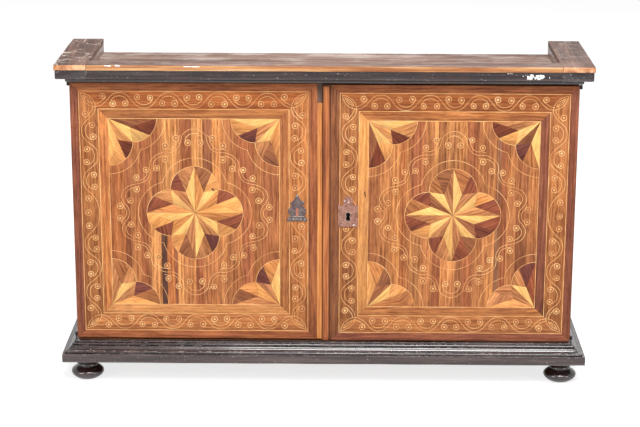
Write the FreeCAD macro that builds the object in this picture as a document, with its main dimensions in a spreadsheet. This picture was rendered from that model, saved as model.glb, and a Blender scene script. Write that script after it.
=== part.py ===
import FreeCAD, Part
import math
import os
import types

import Sketcher

# A low cabinet with two marquetry doors. Frame: origin on the floor under the middle of the whole
# cabinet, +X to the viewer's right, +Y to the back, +Z up. The doors face -Y.
# Every size is in millimetres and has its own cell in the sheet.
sizes = {
    # overall
    "case_width": 1000.0,
    "total_depth": 287.0,
    "overrun": 1.0,
    # feet
    "foot_height": 46.3,
    "foot_radius": 33.5,
    "foot_in_from_side": 45.0,
    "foot_in_from_front": 47.0,
    "tenon_radius": 10.0,
    "tenon_length": 18.0,
    "tenon_clearance": 0.1,
    "tenon_end_gap": 0.5,
    # base
    "base_height": 39.7,
    "base_overhang": 29.0,
    "moulding_inset": 2.0,
    "base_board_thickness": 18.0,
    "base_back_thickness": 18.0,
    "foot_block_side": 64.0,
    # carcass
    "carcass_height": 534.0,
    "carcass_setback": 20.5,
    "side_thickness": 18.0,
    "floor_thickness": 18.0,
    "rail_height": 18.0,
    "rail_depth": 40.0,
    "partition_thickness": 18.0,
    "shelf_thickness": 14.0,
    "shelf_rise": 244.0,
    "shelf_setback": 60.0,
    "cleat_width": 12.0,
    "cleat_height": 18.0,
    "cleat_setback": 70.0,
    "cleat_back_gap": 12.0,
    "back_thickness": 10.0,
    "back_board_gap": 0.6,
    "roof_thickness": 10.0,
    "roof_inset": 5.0,
    "fillet_overhang": 7.2,
    "fillet_nose": 5.0,
    # cornice and cap
    "cornice_height": 18.0,
    "cornice_overhang": 24.2,
    "cornice_round": 2.5,
    "cap_thickness": 10.6,
    "cap_overhang": 26.5,
    "side_cap_width": 63.7,
    "front_cap_width": 48.0,
    # doors
    "leaf_clearance": 6.0,
    "core_thickness": 18.0,
    "veneer_thickness": 2.0,
    "left_leaf_lift": 4.9,
    "right_leaf_lift": 2.6,
    "meeting_offset": 1.9,
    "leaf_gap": 1.5,
    # marquetry of one door
    "field_in_from_side": 17.5,
    "field_in_from_middle": 31.5,
    "field_in_from_end": 16.5,
    "scroll_side_width": 37.5,
    "scroll_end_width": 36.0,
    "inner_band_width": 19.0,
    "star_half_side": 48.0,
    # closing edge of the left door
    "lipping_width": 9.6,
    "lipping_depth": 8.0,
    "lipping_top_gap": 39.0,
    # meeting bead of the right door
    "bead_width": 12.2,
    "bead_proud": 6.0,
    "bead_quirk": 3.3,
    "bead_top_gap": 2.6,
    "bead_hang": 2.2,
    # hinges
    "hinge_offset": 3.5,
    "hinge_depth": 10.0,
    "pin_radius": 1.2,
    "pin_clearance": 0.07,
    "pin_seat_clearance": 0.05,
    "pin_seat_depth": 8.0,
    "pin_spare": 1.0,
    "eye_radius": 3.15,
    "eye_height": 7.0,
    "eye_edge_gap": 0.5,
    "tongue_thickness": 2.5,
    "tongue_length": 22.0,
    "tongue_clearance": 0.1,
    # lock of the right door
    "keyhole_in": 50.4,
    "keyhole_drop": 8.1,
    "keyhole_pitch": 9.0,
    "keyhole_high_radius": 4.2,
    "keyhole_low_radius": 3.9,
    "keyhole_waist": 5.6,
    "lock_plate_width": 39.6,
    "lock_plate_height": 47.0,
    "lock_plate_below": 16.3,
    "lock_plate_thickness": 1.5,
    "crest_radius": 9.5,
    "crest_rise": 6.5,
    "lock_case_length": 76.0,
    "lock_case_height": 72.0,
    "lock_case_below": 32.0,
    "lock_case_wall": 1.5,
    "lock_case_clearance": 0.2,
    "lock_mortise_depth": 12.0,
    "lock_bolt_lift": 11.0,
    "lock_bolt_height": 11.4,
    "lock_bolt_thickness": 5.4,
    "lock_bolt_length": 60.0,
    "lock_bolt_inside": 0.2,
    "lock_bolt_clearance": 0.3,
    "lock_bolt_travel": 10.0,
    "talon_width": 8.0,
    "talon_depth": 3.0,
    "talon_in": 42.0,
    # keeper and escutcheon of the left door
    "keeper_thickness": 1.5,
    "keeper_height": 30.0,
    "keeper_width": 10.0,
    "keeper_slot_clearance": 0.6,
    "keeper_end_gap": 4.0,
    "escutcheon_half_width": 20.5,
    "escutcheon_height": 56.6,
    "escutcheon_in": 49.6,
    "escutcheon_drop": 15.9,
    "escutcheon_thickness": 1.2,
    # shoot bolts of the left door
    "shoot_in": 31.0,
    "shoot_width": 10.0,
    "shoot_thickness": 4.0,
    "shoot_length": 110.0,
    "shoot_gap": 1.5,
    "shoot_clearance": 0.3,
    "shoot_travel": 12.0,
    "shoot_plate_width": 22.0,
    "shoot_plate_thickness": 2.0,
    "shoot_plate_length": 118.0,
    "shoot_plate_gap": 3.0,
    "staple_wall": 1.6,
    "staple_height": 8.0,
    "staple_from_end": 14.0,
    "knob_radius": 3.5,
    "knob_length": 8.0,
    "shoot_mortise_clearance": 0.8,
    "shoot_end_gap": 2.0,
}

# Profile of the base moulding from its top edge downwards: how far it stands out as a share of the
# base's overhang, how far down as a share of its height, and for an arc the point that it runs through.
baseProfileShares = [
    (0.193, 0.0, None),
    (0.193, 0.083, None),
    (0.172, 0.106, None),
    (0.224, 0.106, None),
    (0.328, 0.209, (0.341, 0.150)),
    (0.310, 0.222, None),
    (0.345, 0.227, None),
    (0.500, 0.315, (0.462, 0.262)),
    (0.690, 0.398, (0.583, 0.372)),
    (0.776, 0.398, None),
    (0.776, 0.433, None),
    (0.741, 0.448, None),
    (0.793, 0.529, (0.851, 0.486)),
    (0.800, 0.549, None),
    (1.0, 0.549, None),
    (1.0, 0.962, None),
    (0.948, 1.0, (0.985, 0.989)),
]

# Profile of a foot from the middle of its sole upwards, as shares of its radius and height.
footProfileShares = [
    (0.60, 0.0, None),
    (1.0, 0.27, (0.885, 0.088)),
    (0.68, 0.605, (0.932, 0.454)),
    (0.63, 0.618, None),
    (0.645, 0.82, (0.70, 0.713)),
    (0.55, 0.864, None),
    (0.55, 1.0, None),
]

# Edges of the panel's veneer strips, as shares of the panel's width: strips of full height beside the
# star, and the shorter ones above and below it, which are cut from other boards.
leftStripShares = {
    "beside": [(0, 0.089, 0.119, 0.179, 0.222), (0.778, 0.848, 0.893, 1)],
    "above": (0.222, 0.253, 0.283, 0.3125, 0.417, 0.485, 0.551, 0.604, 0.655, 0.744, 0.778),
    "below": (0.222, 0.237, 0.299, 0.331, 0.376, 0.394, 0.43, 0.503, 0.55, 0.645, 0.69, 0.778),
}
rightStripShares = {
    "beside": [(0, 0.126, 0.19, 0.222), (0.778, 0.815, 0.874, 0.938, 1)],
    "above": (0.222, 0.248, 0.33, 0.384, 0.41, 0.454, 0.53, 0.58, 0.64, 0.7, 0.755, 0.778),
    "below": (0.222, 0.248, 0.31, 0.384, 0.43, 0.515, 0.56, 0.616, 0.695, 0.75, 0.778),
}

# Where the points of the star meet, as a share of its half side from its middle
shoulderShare = 0.975

# Through points of the hollow curves beside the lock plate's crest, as shares of its radius and rise
crestHollowShares = (0.9, 0.4)

# Right half of the escutcheon's outline, as shares of its half width and height, from the foot up.
escutcheonShares = [(0.45, 0.0), (0.93, 0.0), (1.0, 0.07), (0.93, 0.11), (0.66, 0.18), (0.86, 0.30),
                    (0.88, 0.42), (0.60, 0.54), (0.50, 0.575), (0.72, 0.65), (0.50, 0.70),
                    (0.23, 0.83), (0.20, 0.90)]

document = FreeCAD.newDocument("papelera")
sheet = document.addObject("Spreadsheet::Sheet", "Sizes")
for row, (alias, value) in enumerate(sizes.items(), 1):
    sheet.set(f"A{row}", alias)
    sheet.set(f"B{row}", str(value))
    sheet.setAlias(f"B{row}", alias)
document.recompute()


class Size:
    """A length with the sheet expression that gives it."""

    def __init__(self, value, text):
        self.value = float(value)
        self.text = text

    def __add__(self, other):
        return Size(self.value + other.value, f"({self.text} + {other.text})")

    def __sub__(self, other):
        return Size(self.value - other.value, f"({self.text} - {other.text})")

    def __neg__(self):
        return Size(-self.value, f"(-{self.text})")

    def __mul__(self, share):
        return Size(self.value * share, f"({self.text} * {share:.6f})")

    def __truediv__(self, share):
        return Size(self.value / share, f"({self.text} / {share:.6f})")


zero = Size(0, "0")
s = types.SimpleNamespace(**{alias: Size(sheet.get(alias), f"Sizes.{alias}") for alias in sizes})

# Heights and planes that several pieces share
half = s.case_width / 2
front = s.base_overhang - s.total_depth / 2
back = s.total_depth / 2
baseTop = s.foot_height + s.base_height
roofBottom = baseTop + s.carcass_height
roofTop = roofBottom + s.roof_thickness
corniceTop = roofTop + s.cornice_height
capTop = corniceTop + s.cap_thickness
floorTop = baseTop + s.floor_thickness
backFace = back - s.back_thickness
sideInner = half - s.side_thickness
wellSide = half + s.cap_overhang - s.side_cap_width
leafThickness = s.core_thickness + s.veneer_thickness
leafHeight = s.carcass_height - s.leaf_clearance


def behind(distance):
    """The y of a plane that lies this far behind the doors' outer face."""
    return front + distance


pieces = {}


def keep(name, item):
    item.Label = name
    pieces[name] = item
    return item


def box(name, low, high):
    item = document.addObject("Part::Box", name)
    item.Label = name
    for side, axis, start, end in zip(("Length", "Width", "Height"), "xyz", low, high):
        item.setExpression(side, (end - start).text)
        item.setExpression(f"Placement.Base.{axis}", start.text)
    return item


def cylinder(name, at, radius, length, alongY=False):
    item = document.addObject("Part::Cylinder", name)
    item.Label = name
    if alongY:
        item.Placement.Rotation = FreeCAD.Rotation(FreeCAD.Vector(1, 0, 0), -90)
    item.setExpression("Radius", radius.text)
    item.setExpression("Height", length.text)
    for axis, place in zip("xyz", at):
        item.setExpression(f"Placement.Base.{axis}", place.text)
    return item


def fused(name, items):
    item = document.addObject("Part::MultiFuse", name)
    item.Label = name
    item.Shapes = items
    return item


def grouped(name, items):
    item = document.addObject("Part::Compound", name)
    item.Label = name
    item.Links = items
    return item


def cut(name, base, tools):
    item = document.addObject("Part::Cut", name)
    item.Label = name
    item.Base = base
    item.Tool = tools[0] if len(tools) == 1 else grouped(name + "_tools", tools)
    return item


def newBody(name):
    item = document.addObject("PartDesign::Body", name)
    item.Label = name
    return item


def pinPoint(sketch, line, end, place):
    """Hold one point of the sketch at a named place."""
    for kind, axis, size in (("DistanceX", -2, place[0]), ("DistanceY", -1, place[1])):
        if size.text == "0":
            sketch.addConstraint(Sketcher.Constraint("PointOnObject", line, end, axis))
        else:
            held = sketch.addConstraint(Sketcher.Constraint(kind, -1, 1, line, end, size.value))
            sketch.setExpression(f"Constraints[{held}]", size.text)


def sketchLoop(sketch, corners):
    """A closed outline. A corner is (u, v, through); through is a point of the arc that comes in."""
    first = sketch.GeometryCount
    count = len(corners)
    starts = []
    ends = []
    throughs = []
    for index in range(count):
        here = corners[index]
        there = corners[(index + 1) % count]
        a = FreeCAD.Vector(here[0].value, here[1].value, 0)
        b = FreeCAD.Vector(there[0].value, there[1].value, 0)
        through = there[2]
        if through is None:
            sketch.addGeometry(Part.LineSegment(a, b), False)
            starts.append(1)
            ends.append(2)
            continue
        middle = FreeCAD.Vector(through[0].value, through[1].value, 0)
        anticlockwise = (middle - a).cross(b - middle).z > 0
        arc = Part.Arc(a, middle, b) if anticlockwise else Part.Arc(b, middle, a)
        sketch.addGeometry(arc, False)
        starts.append(1 if anticlockwise else 2)
        ends.append(2 if anticlockwise else 1)
        throughs.append((first + index, through))
    for index in range(count):
        following = (index + 1) % count
        sketch.addConstraint(Sketcher.Constraint("Coincident", first + index, ends[index],
                                                 first + following, starts[following]))
        pinPoint(sketch, first + index, starts[index], corners[index])
    for arc, through in throughs:
        mark = sketch.addGeometry(Part.Point(FreeCAD.Vector(through[0].value, through[1].value, 0)), True)
        sketch.addConstraint(Sketcher.Constraint("PointOnObject", mark, 1, arc))
        pinPoint(sketch, mark, 1, through)


def newSketch(body, role, loops):
    sketch = body.newObject("Sketcher::SketchObject", body.Name + "_sketch")
    plane = [feature for feature in body.Origin.OriginFeatures if feature.Role == role][0]
    sketch.AttachmentSupport = [(plane, "")]
    sketch.MapMode = "FlatFace"
    for loop in loops:
        sketchLoop(sketch, loop)
    return sketch


def pad(body, sketch, forward, backward):
    """Pad a sketch this far along its plane's normal, and this far against it."""
    item = body.newObject("PartDesign::Pad", body.Name + "_pad")
    item.Profile = sketch
    item.SideType = "Two sides"
    item.setExpression("Length", forward.text)
    item.setExpression("Length2", backward.text)
    body.Tip = item
    return item


def pocketThrough(body, sketch):
    item = body.newObject("PartDesign::Pocket", body.Name + "_pocket")
    item.Profile = sketch
    item.Type = "ThroughAll"
    item.SideType = "Symmetric"
    body.Tip = item
    return item


def plain(*places):
    """Corners of an outline with straight sides."""
    return [(u, v, None) for u, v in places]


def frontPiece(name, profile, outer, inner, low, high):
    """A length of moulding across the front, mitred at both ends.
    profile gives its corners as (out, height, through)."""
    body = newBody(name)
    section = [(front - out, height, through and (front - through[0], through[1]))
               for out, height, through in profile]
    pad(body, newSketch(body, "YZ_Plane", [section]), high, -low)
    mitres = []
    for sign in (-1, 1):
        tip = s.overrun + outer
        heel = s.overrun + inner
        mitres.append(plain(((half + tip) * sign, front - tip), ((half + tip) * sign, front + heel),
                            ((half - heel) * sign, front + heel)))
    pocketThrough(body, newSketch(body, "XY_Plane", mitres))
    return body


def sidePiece(name, sign, profile, outer, inner, mitred):
    """A length of moulding down one side, to the back, with a mitre at its front end."""
    body = newBody(name)
    section = [((half + out) * sign, height, through and ((half + through[0]) * sign, through[1]))
               for out, height, through in profile]
    pad(body, newSketch(body, "XZ_Plane", [section]), outer - front, back)
    if mitred:
        tip = s.overrun + outer
        heel = s.overrun + inner
        mitre = plain(((half + tip) * sign, front - tip), ((half - heel) * sign, front - tip),
                      ((half - heel) * sign, front + heel))
        pocketThrough(body, newSketch(body, "XY_Plane", [mitre]))
    return body


# Feet
def foot(name, right, rear):
    body = newBody(name)
    top = s.foot_height
    outline = [(zero, zero, None)]
    for radius, height, through in footProfileShares:
        place = s.foot_height * height if height else zero
        middle = through and (s.foot_radius * through[0], s.foot_height * through[1])
        outline.append((s.foot_radius * radius, place, middle))
    outline += plain((s.tenon_radius, top), (s.tenon_radius, top + s.tenon_length),
                     (zero, top + s.tenon_length))
    turned = body.newObject("PartDesign::Revolution", name + "_turned")
    sketch = newSketch(body, "XZ_Plane", [outline])
    turned.Profile = sketch
    turned.ReferenceAxis = (sketch, ["V_Axis"])
    turned.Angle = 360
    body.Tip = turned
    body.setExpression("Placement.Base.x", (footAcross * right).text)
    body.setExpression("Placement.Base.y", (footAlong * rear).text)
    return keep(name, body)


footAcross = half + s.base_overhang - s.foot_in_from_side
footAlong = s.total_depth / 2 - s.foot_in_from_front
foot("foot_front_left", -1, -1)
foot("foot_front_right", 1, -1)
foot("foot_back_left", -1, 1)
foot("foot_back_right", 1, 1)

# Base: a board on four blocks, with the moulding round it
boardBottom = baseTop - s.base_board_thickness
boardSide = half - s.moulding_inset
keep("base_board", box("base_board", (-boardSide, behind(s.moulding_inset), boardBottom),
                       (boardSide, back, baseTop)))
keep("base_back", box("base_back", (-boardSide, back - s.base_back_thickness, s.foot_height),
                      (boardSide, back, boardBottom)))

blocks = []
for right in (-1, 1):
    for rear in (-1, 1):
        name = f"foot_block_{right + 1}{rear + 1}"
        inner = boardSide - s.foot_block_side
        left = inner if right > 0 else -boardSide
        near = back - s.base_back_thickness - s.foot_block_side if rear > 0 else behind(s.moulding_inset)
        block = box(name, (left, near, s.foot_height),
                    (left + s.foot_block_side, near + s.foot_block_side, boardBottom))
        bore = cylinder(name + "_bore", (footAcross * right, footAlong * rear, s.foot_height - s.overrun),
                        s.tenon_radius + s.tenon_clearance, s.tenon_length + s.tenon_end_gap + s.overrun)
        blocks.append(cut(name + "_bored", block, [bore]))
keep("foot_blocks", grouped("foot_blocks", blocks))

baseProfile = [(-s.moulding_inset, baseTop, None)]
for out, down, through in baseProfileShares:
    middle = through and (s.base_overhang * through[0], baseTop - s.base_height * through[1])
    baseProfile.append((s.base_overhang * out, baseTop - s.base_height * down, middle))
baseProfile.append((-s.moulding_inset, s.foot_height, None))

hingeAcross = half + s.hinge_offset
hingeY = behind(s.hinge_depth)
seatRadius = s.pin_radius + s.pin_seat_clearance


def pinSeat(name, sign, bottom, depth):
    return cylinder(name, (hingeAcross * sign, hingeY, bottom), seatRadius, depth)


baseWide = half + s.base_overhang
keep("base_front", frontPiece("base_front", baseProfile, s.base_overhang, s.moulding_inset,
                              -baseWide, baseWide))
for sign, side in ((-1, "left"), (1, "right")):
    moulding = sidePiece(f"base_{side}_moulding", sign, baseProfile, s.base_overhang,
                         s.moulding_inset, True)
    seat = pinSeat(f"base_{side}_seat", sign, baseTop - s.pin_seat_depth, s.pin_seat_depth + s.overrun)
    keep(f"base_{side}", cut(f"base_{side}", moulding, [seat]))

# Carcass
keep("side_left", box("side_left", (-half, behind(s.carcass_setback), baseTop),
                      (-sideInner, backFace, roofBottom)))
keep("side_right", box("side_right", (sideInner, behind(s.carcass_setback), baseTop),
                       (half, backFace, roofBottom)))

leftEdge = -s.meeting_offset - s.leaf_gap
rightEdge = -s.meeting_offset
shootX = leftEdge - s.shoot_in
shootY = behind(leafThickness) + s.shoot_plate_thickness + s.shoot_clearance
railBottom = roofBottom - s.rail_height
shootMortiseDepth = s.shoot_travel + s.shoot_end_gap


def shootMortise(name, bottom, top):
    reach = s.shoot_width / 2 + s.shoot_mortise_clearance
    return box(name, (shootX - reach, shootY - s.shoot_mortise_clearance, bottom),
               (shootX + reach, shootY + s.shoot_thickness + s.shoot_mortise_clearance, top))


floorBoard = box("floor_plank", (-sideInner, behind(s.carcass_setback), baseTop),
                 (sideInner, backFace, floorTop))
keep("bottom_board", cut("bottom_board", floorBoard,
                         [shootMortise("floor_mortise", floorTop - shootMortiseDepth,
                                       floorTop + s.overrun)]))
railFront = behind(s.carcass_setback)
railBack = railFront + s.rail_depth
rail = box("rail_plank", (-sideInner, railFront, railBottom), (sideInner, railBack, roofBottom))
keep("top_rail", cut("top_rail", rail,
                     [shootMortise("rail_mortise", railBottom - s.overrun,
                                   railBottom + shootMortiseDepth)]))

partitionHalf = s.partition_thickness / 2
partition = box("partition_plank", (-partitionHalf, railFront, floorTop),
                (partitionHalf, backFace, roofBottom))
notch = box("partition_notch", (-partitionHalf - s.overrun, railFront - s.overrun, railBottom),
            (partitionHalf + s.overrun, railBack, roofBottom + s.overrun))
keep("centre_partition", cut("centre_partition", partition, [notch]))

shelfBottom = floorTop + s.shelf_rise
cleats = []
for sign, side in ((-1, "left"), (1, "right")):
    low = -sideInner if sign < 0 else partitionHalf
    high = -partitionHalf if sign < 0 else sideInner
    keep(f"shelf_{side}", box(f"shelf_{side}", (low, behind(s.shelf_setback), shelfBottom),
                              (high, backFace, shelfBottom + s.shelf_thickness)))
    for start, end in ((low, low + s.cleat_width), (high - s.cleat_width, high)):
        cleats.append(box(f"cleat_{len(cleats)}",
                          (start, behind(s.cleat_setback), shelfBottom - s.cleat_height),
                          (end, backFace - s.cleat_back_gap, shelfBottom)))
keep("shelf_cleats", grouped("shelf_cleats", cleats))

boards = []
backBoardCount = 3
boardWidth = s.case_width / backBoardCount
for index in range(backBoardCount):
    start = boardWidth * index - half
    gap = s.back_board_gap if index < backBoardCount - 1 else zero
    boards.append(box(f"back_board_{index}", (start, backFace, baseTop),
                      (start + boardWidth - gap, back, roofBottom)))
keep("back_boards", grouped("back_boards", boards))

# Roof board with its rounded fillets
keep("roof_board", box("roof_board", (s.roof_inset - half, behind(s.roof_inset), roofBottom),
                       (half - s.roof_inset, back, roofTop)))
noseStart = s.fillet_overhang - s.fillet_nose
filletProfile = [(-s.roof_inset, roofBottom, None), (noseStart, roofBottom, None),
                 (noseStart, roofTop, (s.fillet_overhang, roofBottom + s.roof_thickness / 2)),
                 (-s.roof_inset, roofTop, None)]
filletWide = half + s.fillet_overhang
fillets = [frontPiece("fillet_front", filletProfile, s.fillet_overhang, s.roof_inset,
                      -filletWide, filletWide)]
seats = []
for sign, side in ((-1, "left"), (1, "right")):
    fillets.append(sidePiece(f"fillet_{side}", sign, filletProfile, s.fillet_overhang,
                             s.roof_inset, True))
    seats.append(pinSeat(f"fillet_{side}_seat", sign, roofBottom - s.overrun,
                         s.pin_seat_depth + s.overrun))
keep("top_fillets", grouped("top_fillets", [fillets[0], cut("fillet_left_bored", fillets[1], [seats[0]]),
                                            cut("fillet_right_bored", fillets[2], [seats[1]])]))

# Cornice and cap: the side members run to the front, and the front ones stand between them
sideInset = s.side_cap_width - s.cap_overhang
frontInset = s.front_cap_width - s.cap_overhang
roundTurn = s.cornice_round * (1 - math.sqrt(0.5))


def corniceProfile(inset):
    return [(-inset, roofTop, None), (s.cornice_overhang - s.cornice_round, roofTop, None),
            (s.cornice_overhang, roofTop + s.cornice_round,
             (s.cornice_overhang - roundTurn, roofTop + roundTurn)),
            (s.cornice_overhang, corniceTop, None), (-inset, corniceTop, None)]


for sign, side in ((-1, "left"), (1, "right")):
    keep(f"cornice_{side}", sidePiece(f"cornice_{side}", sign, corniceProfile(sideInset),
                                      s.cornice_overhang, sideInset, False))
    low = -half - s.cap_overhang if sign < 0 else wellSide
    keep(f"cap_{side}", box(f"cap_{side}", (low, behind(-s.cap_overhang), corniceTop),
                            (low + s.side_cap_width, back, capTop)))
corniceFront = newBody("cornice_front")
frontSection = [(front - out, height, through and (front - through[0], through[1]))
                for out, height, through in corniceProfile(frontInset)]
pad(corniceFront, newSketch(corniceFront, "YZ_Plane", [frontSection]), wellSide, wellSide)
keep("cornice_front", corniceFront)
keep("cap_front", box("cap_front", (-wellSide, behind(-s.cap_overhang), corniceTop),
                      (wellSide, behind(frontInset), capTop)))


# Marquetry: places of the outer line, the inner line and the panel's edge round the middle of a field
fieldHalfWidth = (half - s.field_in_from_side - s.field_in_from_middle) / 2
fieldHalfHeight = leafHeight / 2 - s.field_in_from_end
fieldMiddle = s.field_in_from_middle + fieldHalfWidth
bandHalfWidth = fieldHalfWidth - s.scroll_side_width
bandHalfHeight = fieldHalfHeight - s.scroll_end_width
panelHalfWidth = bandHalfWidth - s.inner_band_width
panelHalfHeight = bandHalfHeight - s.inner_band_width


def slab(outline, low, thickness):
    """Extrude a closed outline in the door's plane towards the back. An edge is 2 or 3 points."""
    edges = []
    for edge in outline:
        points = [FreeCAD.Vector(x, low.value, z) for x, z in edge]
        shape = Part.makeLine(*points) if len(points) == 2 else Part.Arc(*points).toShape()
        edges.append(shape)
    face = Part.Face(Part.Wire(edges))
    return face.extrude(FreeCAD.Vector(0, thickness.value, 0))


def polygon(corners):
    return [(corners[index], corners[(index + 1) % len(corners)]) for index in range(len(corners))]


def feature(name, shapes):
    item = document.addObject("Part::Feature", name)
    item.Shape = Part.makeCompound(shapes)
    return keep(name, item)


diagonal = math.sqrt(0.5)
near = math.sin(math.radians(22.5))
far = math.cos(math.radians(22.5))
northShoulder = (shoulderShare * near, shoulderShare * far)
eastShoulder = (shoulderShare * far, shoulderShare * near)

# One quarter of the star, in units of its half side, as (wood, edges)
starQuarter = [
    ("brown", [((0, 0), northShoulder), (northShoulder, (0, 2)), ((0, 2), (0, 0))]),
    ("light", [((0, 0), (1, 1)), ((1, 1), northShoulder), (northShoulder, (0, 0))]),
    ("dark", [(northShoulder, (diagonal, 1 + diagonal)),
              ((diagonal, 1 + diagonal), (near, 1 + far), (0, 2)), ((0, 2), northShoulder)]),
    ("brown", [(northShoulder, (1, 1)), ((1, 1), (far, 1 + near), (diagonal, 1 + diagonal)),
               ((diagonal, 1 + diagonal), northShoulder)]),
    ("brown", [((0, 0), eastShoulder), (eastShoulder, (1, 1)), ((1, 1), (0, 0))]),
    ("light", [((0, 0), (2, 0)), ((2, 0), eastShoulder), (eastShoulder, (0, 0))]),
    ("dark", [(eastShoulder, (1 + diagonal, diagonal)),
              ((1 + diagonal, diagonal), (1 + near, far), (1, 1)), ((1, 1), eastShoulder)]),
    ("brown", [(eastShoulder, (2, 0)), ((2, 0), (1 + far, near), (1 + diagonal, diagonal)),
               ((1 + diagonal, diagonal), eastShoulder)]),
]
lobes = [((-1, 1), (0, 2), (1, 1)), ((1, 1), (2, 0), (1, -1)), ((1, -1), (0, -2), (-1, -1)),
         ((-1, -1), (-2, 0), (-1, 1))]


def quarterTurn(point, turns):
    """Turn a point clockwise by quarter turns."""
    u, v = point
    for _ in range(turns):
        u, v = v, -u
    return u, v


def marquetry(side, sign, centreX, centreZ, outerLow, outerHigh):
    """Veneers of one door. sign mirrors the left door's pattern for the right door."""
    face = behind(zero)
    star = s.star_half_side.value
    corners = [(-1, -1), (-1, 1), (1, 1), (1, -1)]

    def rectangle(halfWidth, halfHeight):
        return [(centreX.value + u * halfWidth.value, centreZ.value + v * halfHeight.value)
                for u, v in corners]

    def mitredFrame(outer, inner):
        strips = []
        for index in range(4):
            following = (index + 1) % 4
            strip = [outer[index], outer[following], inner[following], inner[index]]
            strips.append(slab(polygon(strip), face, s.veneer_thickness))
        return strips

    border = [(outerLow[0].value, outerLow[1].value), (outerLow[0].value, outerHigh[1].value),
              (outerHigh[0].value, outerHigh[1].value), (outerHigh[0].value, outerLow[1].value)]
    scroll = rectangle(fieldHalfWidth, fieldHalfHeight)
    band = rectangle(bandHalfWidth, bandHalfHeight)
    panel = rectangle(panelHalfWidth, panelHalfHeight)
    feature(f"{side}_border", mitredFrame(border, scroll))
    scrollStrips = mitredFrame(scroll, band)
    feature(f"{side}_inner_band", mitredFrame(band, panel))

    # The middle star shows whole, and each corner of the panel shows the quarter that opens inwards
    quarters = [(centreX.value, centreZ.value, turns) for turns in range(4)]
    for index, (u, v) in enumerate(corners):
        quarters.append((centreX.value + sign * u * panelHalfWidth.value,
                         centreZ.value + v * panelHalfHeight.value, index))
    woods = {"light": [], "brown": [], "dark": []}
    for x, z, turns in quarters:
        for wood, edges in starQuarter:
            outline = []
            for edge in edges:
                turned = [quarterTurn(point, turns) for point in edge]
                outline.append([(x + sign * u * star, z + v * star) for u, v in turned])
            woods[wood].append(slab(outline, face, s.veneer_thickness))
    for wood, shapes in woods.items():
        feature(f"{side}_star_{wood}", shapes)

    # The ground's strips stop at the star and at the corner fans
    holes = []
    for x, z in [(centreX.value, centreZ.value)] + panel:
        outline = [[(x + u * star, z + v * star) for u, v in lobe] for lobe in lobes]
        holes.append(slab(outline, behind(-s.overrun), s.veneer_thickness + s.overrun + s.overrun))
    left, bottom = panel[0]
    right, top = panel[2]
    middle = centreZ.value
    shares = leftStripShares if side == "left" else rightStripShares
    runs = [(edges, bottom, top) for edges in shares["beside"]]
    runs += [(shares["above"], middle, top), (shares["below"], bottom, middle)]
    strips = []
    for edges, low, high in runs:
        for start, end in zip(edges, edges[1:]):
            x0 = left + start * (right - left)
            x1 = left + end * (right - left)
            strip = slab(polygon([(x0, low), (x1, low), (x1, high), (x0, high)]), face,
                         s.veneer_thickness)
            strips += strip.cut(holes).Solids
    feature(f"{side}_ground", strips)
    return scrollStrips


# Hinge eyes on the leaves, and the pins that they turn on
def hinge(side, sign, leafBottom):
    leafTop = leafBottom + leafHeight
    x = hingeAcross * sign
    eyes = []
    slots = []
    for end, low in (("lower", leafBottom + s.eye_edge_gap),
                     ("upper", leafTop - s.eye_edge_gap - s.eye_height)):
        name = f"{side}_{end}_eye"
        barrel = cylinder(name + "_barrel", (x, hingeY, low), s.eye_radius, s.eye_height)
        inner = x - s.tongue_length * sign
        tongueLow, tongueHigh = (x, inner) if sign < 0 else (inner, x)
        tongue = box(name + "_tongue", (tongueLow, hingeY - s.tongue_thickness / 2, low),
                     (tongueHigh, hingeY + s.tongue_thickness / 2, low + s.eye_height))
        bore = cylinder(name + "_bore", (x, hingeY, low - s.overrun), s.pin_radius + s.pin_clearance,
                        s.eye_height + s.overrun + s.overrun)
        eyes.append(cut(name, fused(name + "_blank", [barrel, tongue]), [bore]))
        slack = s.tongue_clearance
        slots.append(box(name + "_slot",
                         (tongueLow - slack, hingeY - s.tongue_thickness / 2 - slack, low - slack),
                         (tongueHigh + slack, hingeY + s.tongue_thickness / 2 + slack,
                          low + s.eye_height + slack)))
    keep(f"{side}_hinge_eyes", grouped(f"{side}_hinge_eyes", eyes))
    lowerTop = leafBottom + s.eye_edge_gap + s.eye_height + s.pin_spare
    upperLow = leafTop - s.eye_edge_gap - s.eye_height - s.pin_spare
    lowerStart = baseTop - s.pin_seat_depth
    pins = [cylinder(f"{side}_lower_pin", (x, hingeY, lowerStart), s.pin_radius, lowerTop - lowerStart),
            cylinder(f"{side}_upper_pin", (x, hingeY, upperLow), s.pin_radius,
                     roofBottom + s.pin_seat_depth - upperLow)]
    keep(f"{side}_hinge_pins", grouped(f"{side}_hinge_pins", pins))
    return slots


coreFront = behind(s.veneer_thickness)
coreBack = behind(leafThickness)

# Left door
leftBottom = baseTop + s.left_leaf_lift
leftTop = leftBottom + leafHeight
leftMiddle = leftBottom + leafHeight / 2
rightMiddle = baseTop + s.right_leaf_lift + leafHeight / 2
lippingStart = leftEdge - s.lipping_width
rebate = box("lipping_rebate", (lippingStart, coreFront - s.overrun, leftBottom - s.overrun),
             (leftEdge + s.overrun, behind(s.lipping_depth), leftTop + s.overrun))
lockBoltLow = rightMiddle + s.lock_bolt_lift
lockBoltY = behind(leafThickness - s.lock_mortise_depth / 2) - s.lock_bolt_thickness / 2
keeperLow = lockBoltLow + s.lock_bolt_height / 2 - s.keeper_height / 2
keeperY = lockBoltY + s.lock_bolt_thickness / 2 - s.keeper_width / 2
keeperMortise = box("keeper_mortise",
                    (leftEdge - s.lock_bolt_travel - s.keeper_end_gap, keeperY, keeperLow),
                    (leftEdge + s.overrun, keeperY + s.keeper_width, keeperLow + s.keeper_height))
leftBlank = box("left_core_blank", (-half, coreFront, leftBottom), (leftEdge, coreBack, leftTop))
keep("left_core", cut("left_core", leftBlank, [rebate, keeperMortise] + hinge("left", -1, leftBottom)))
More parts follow.
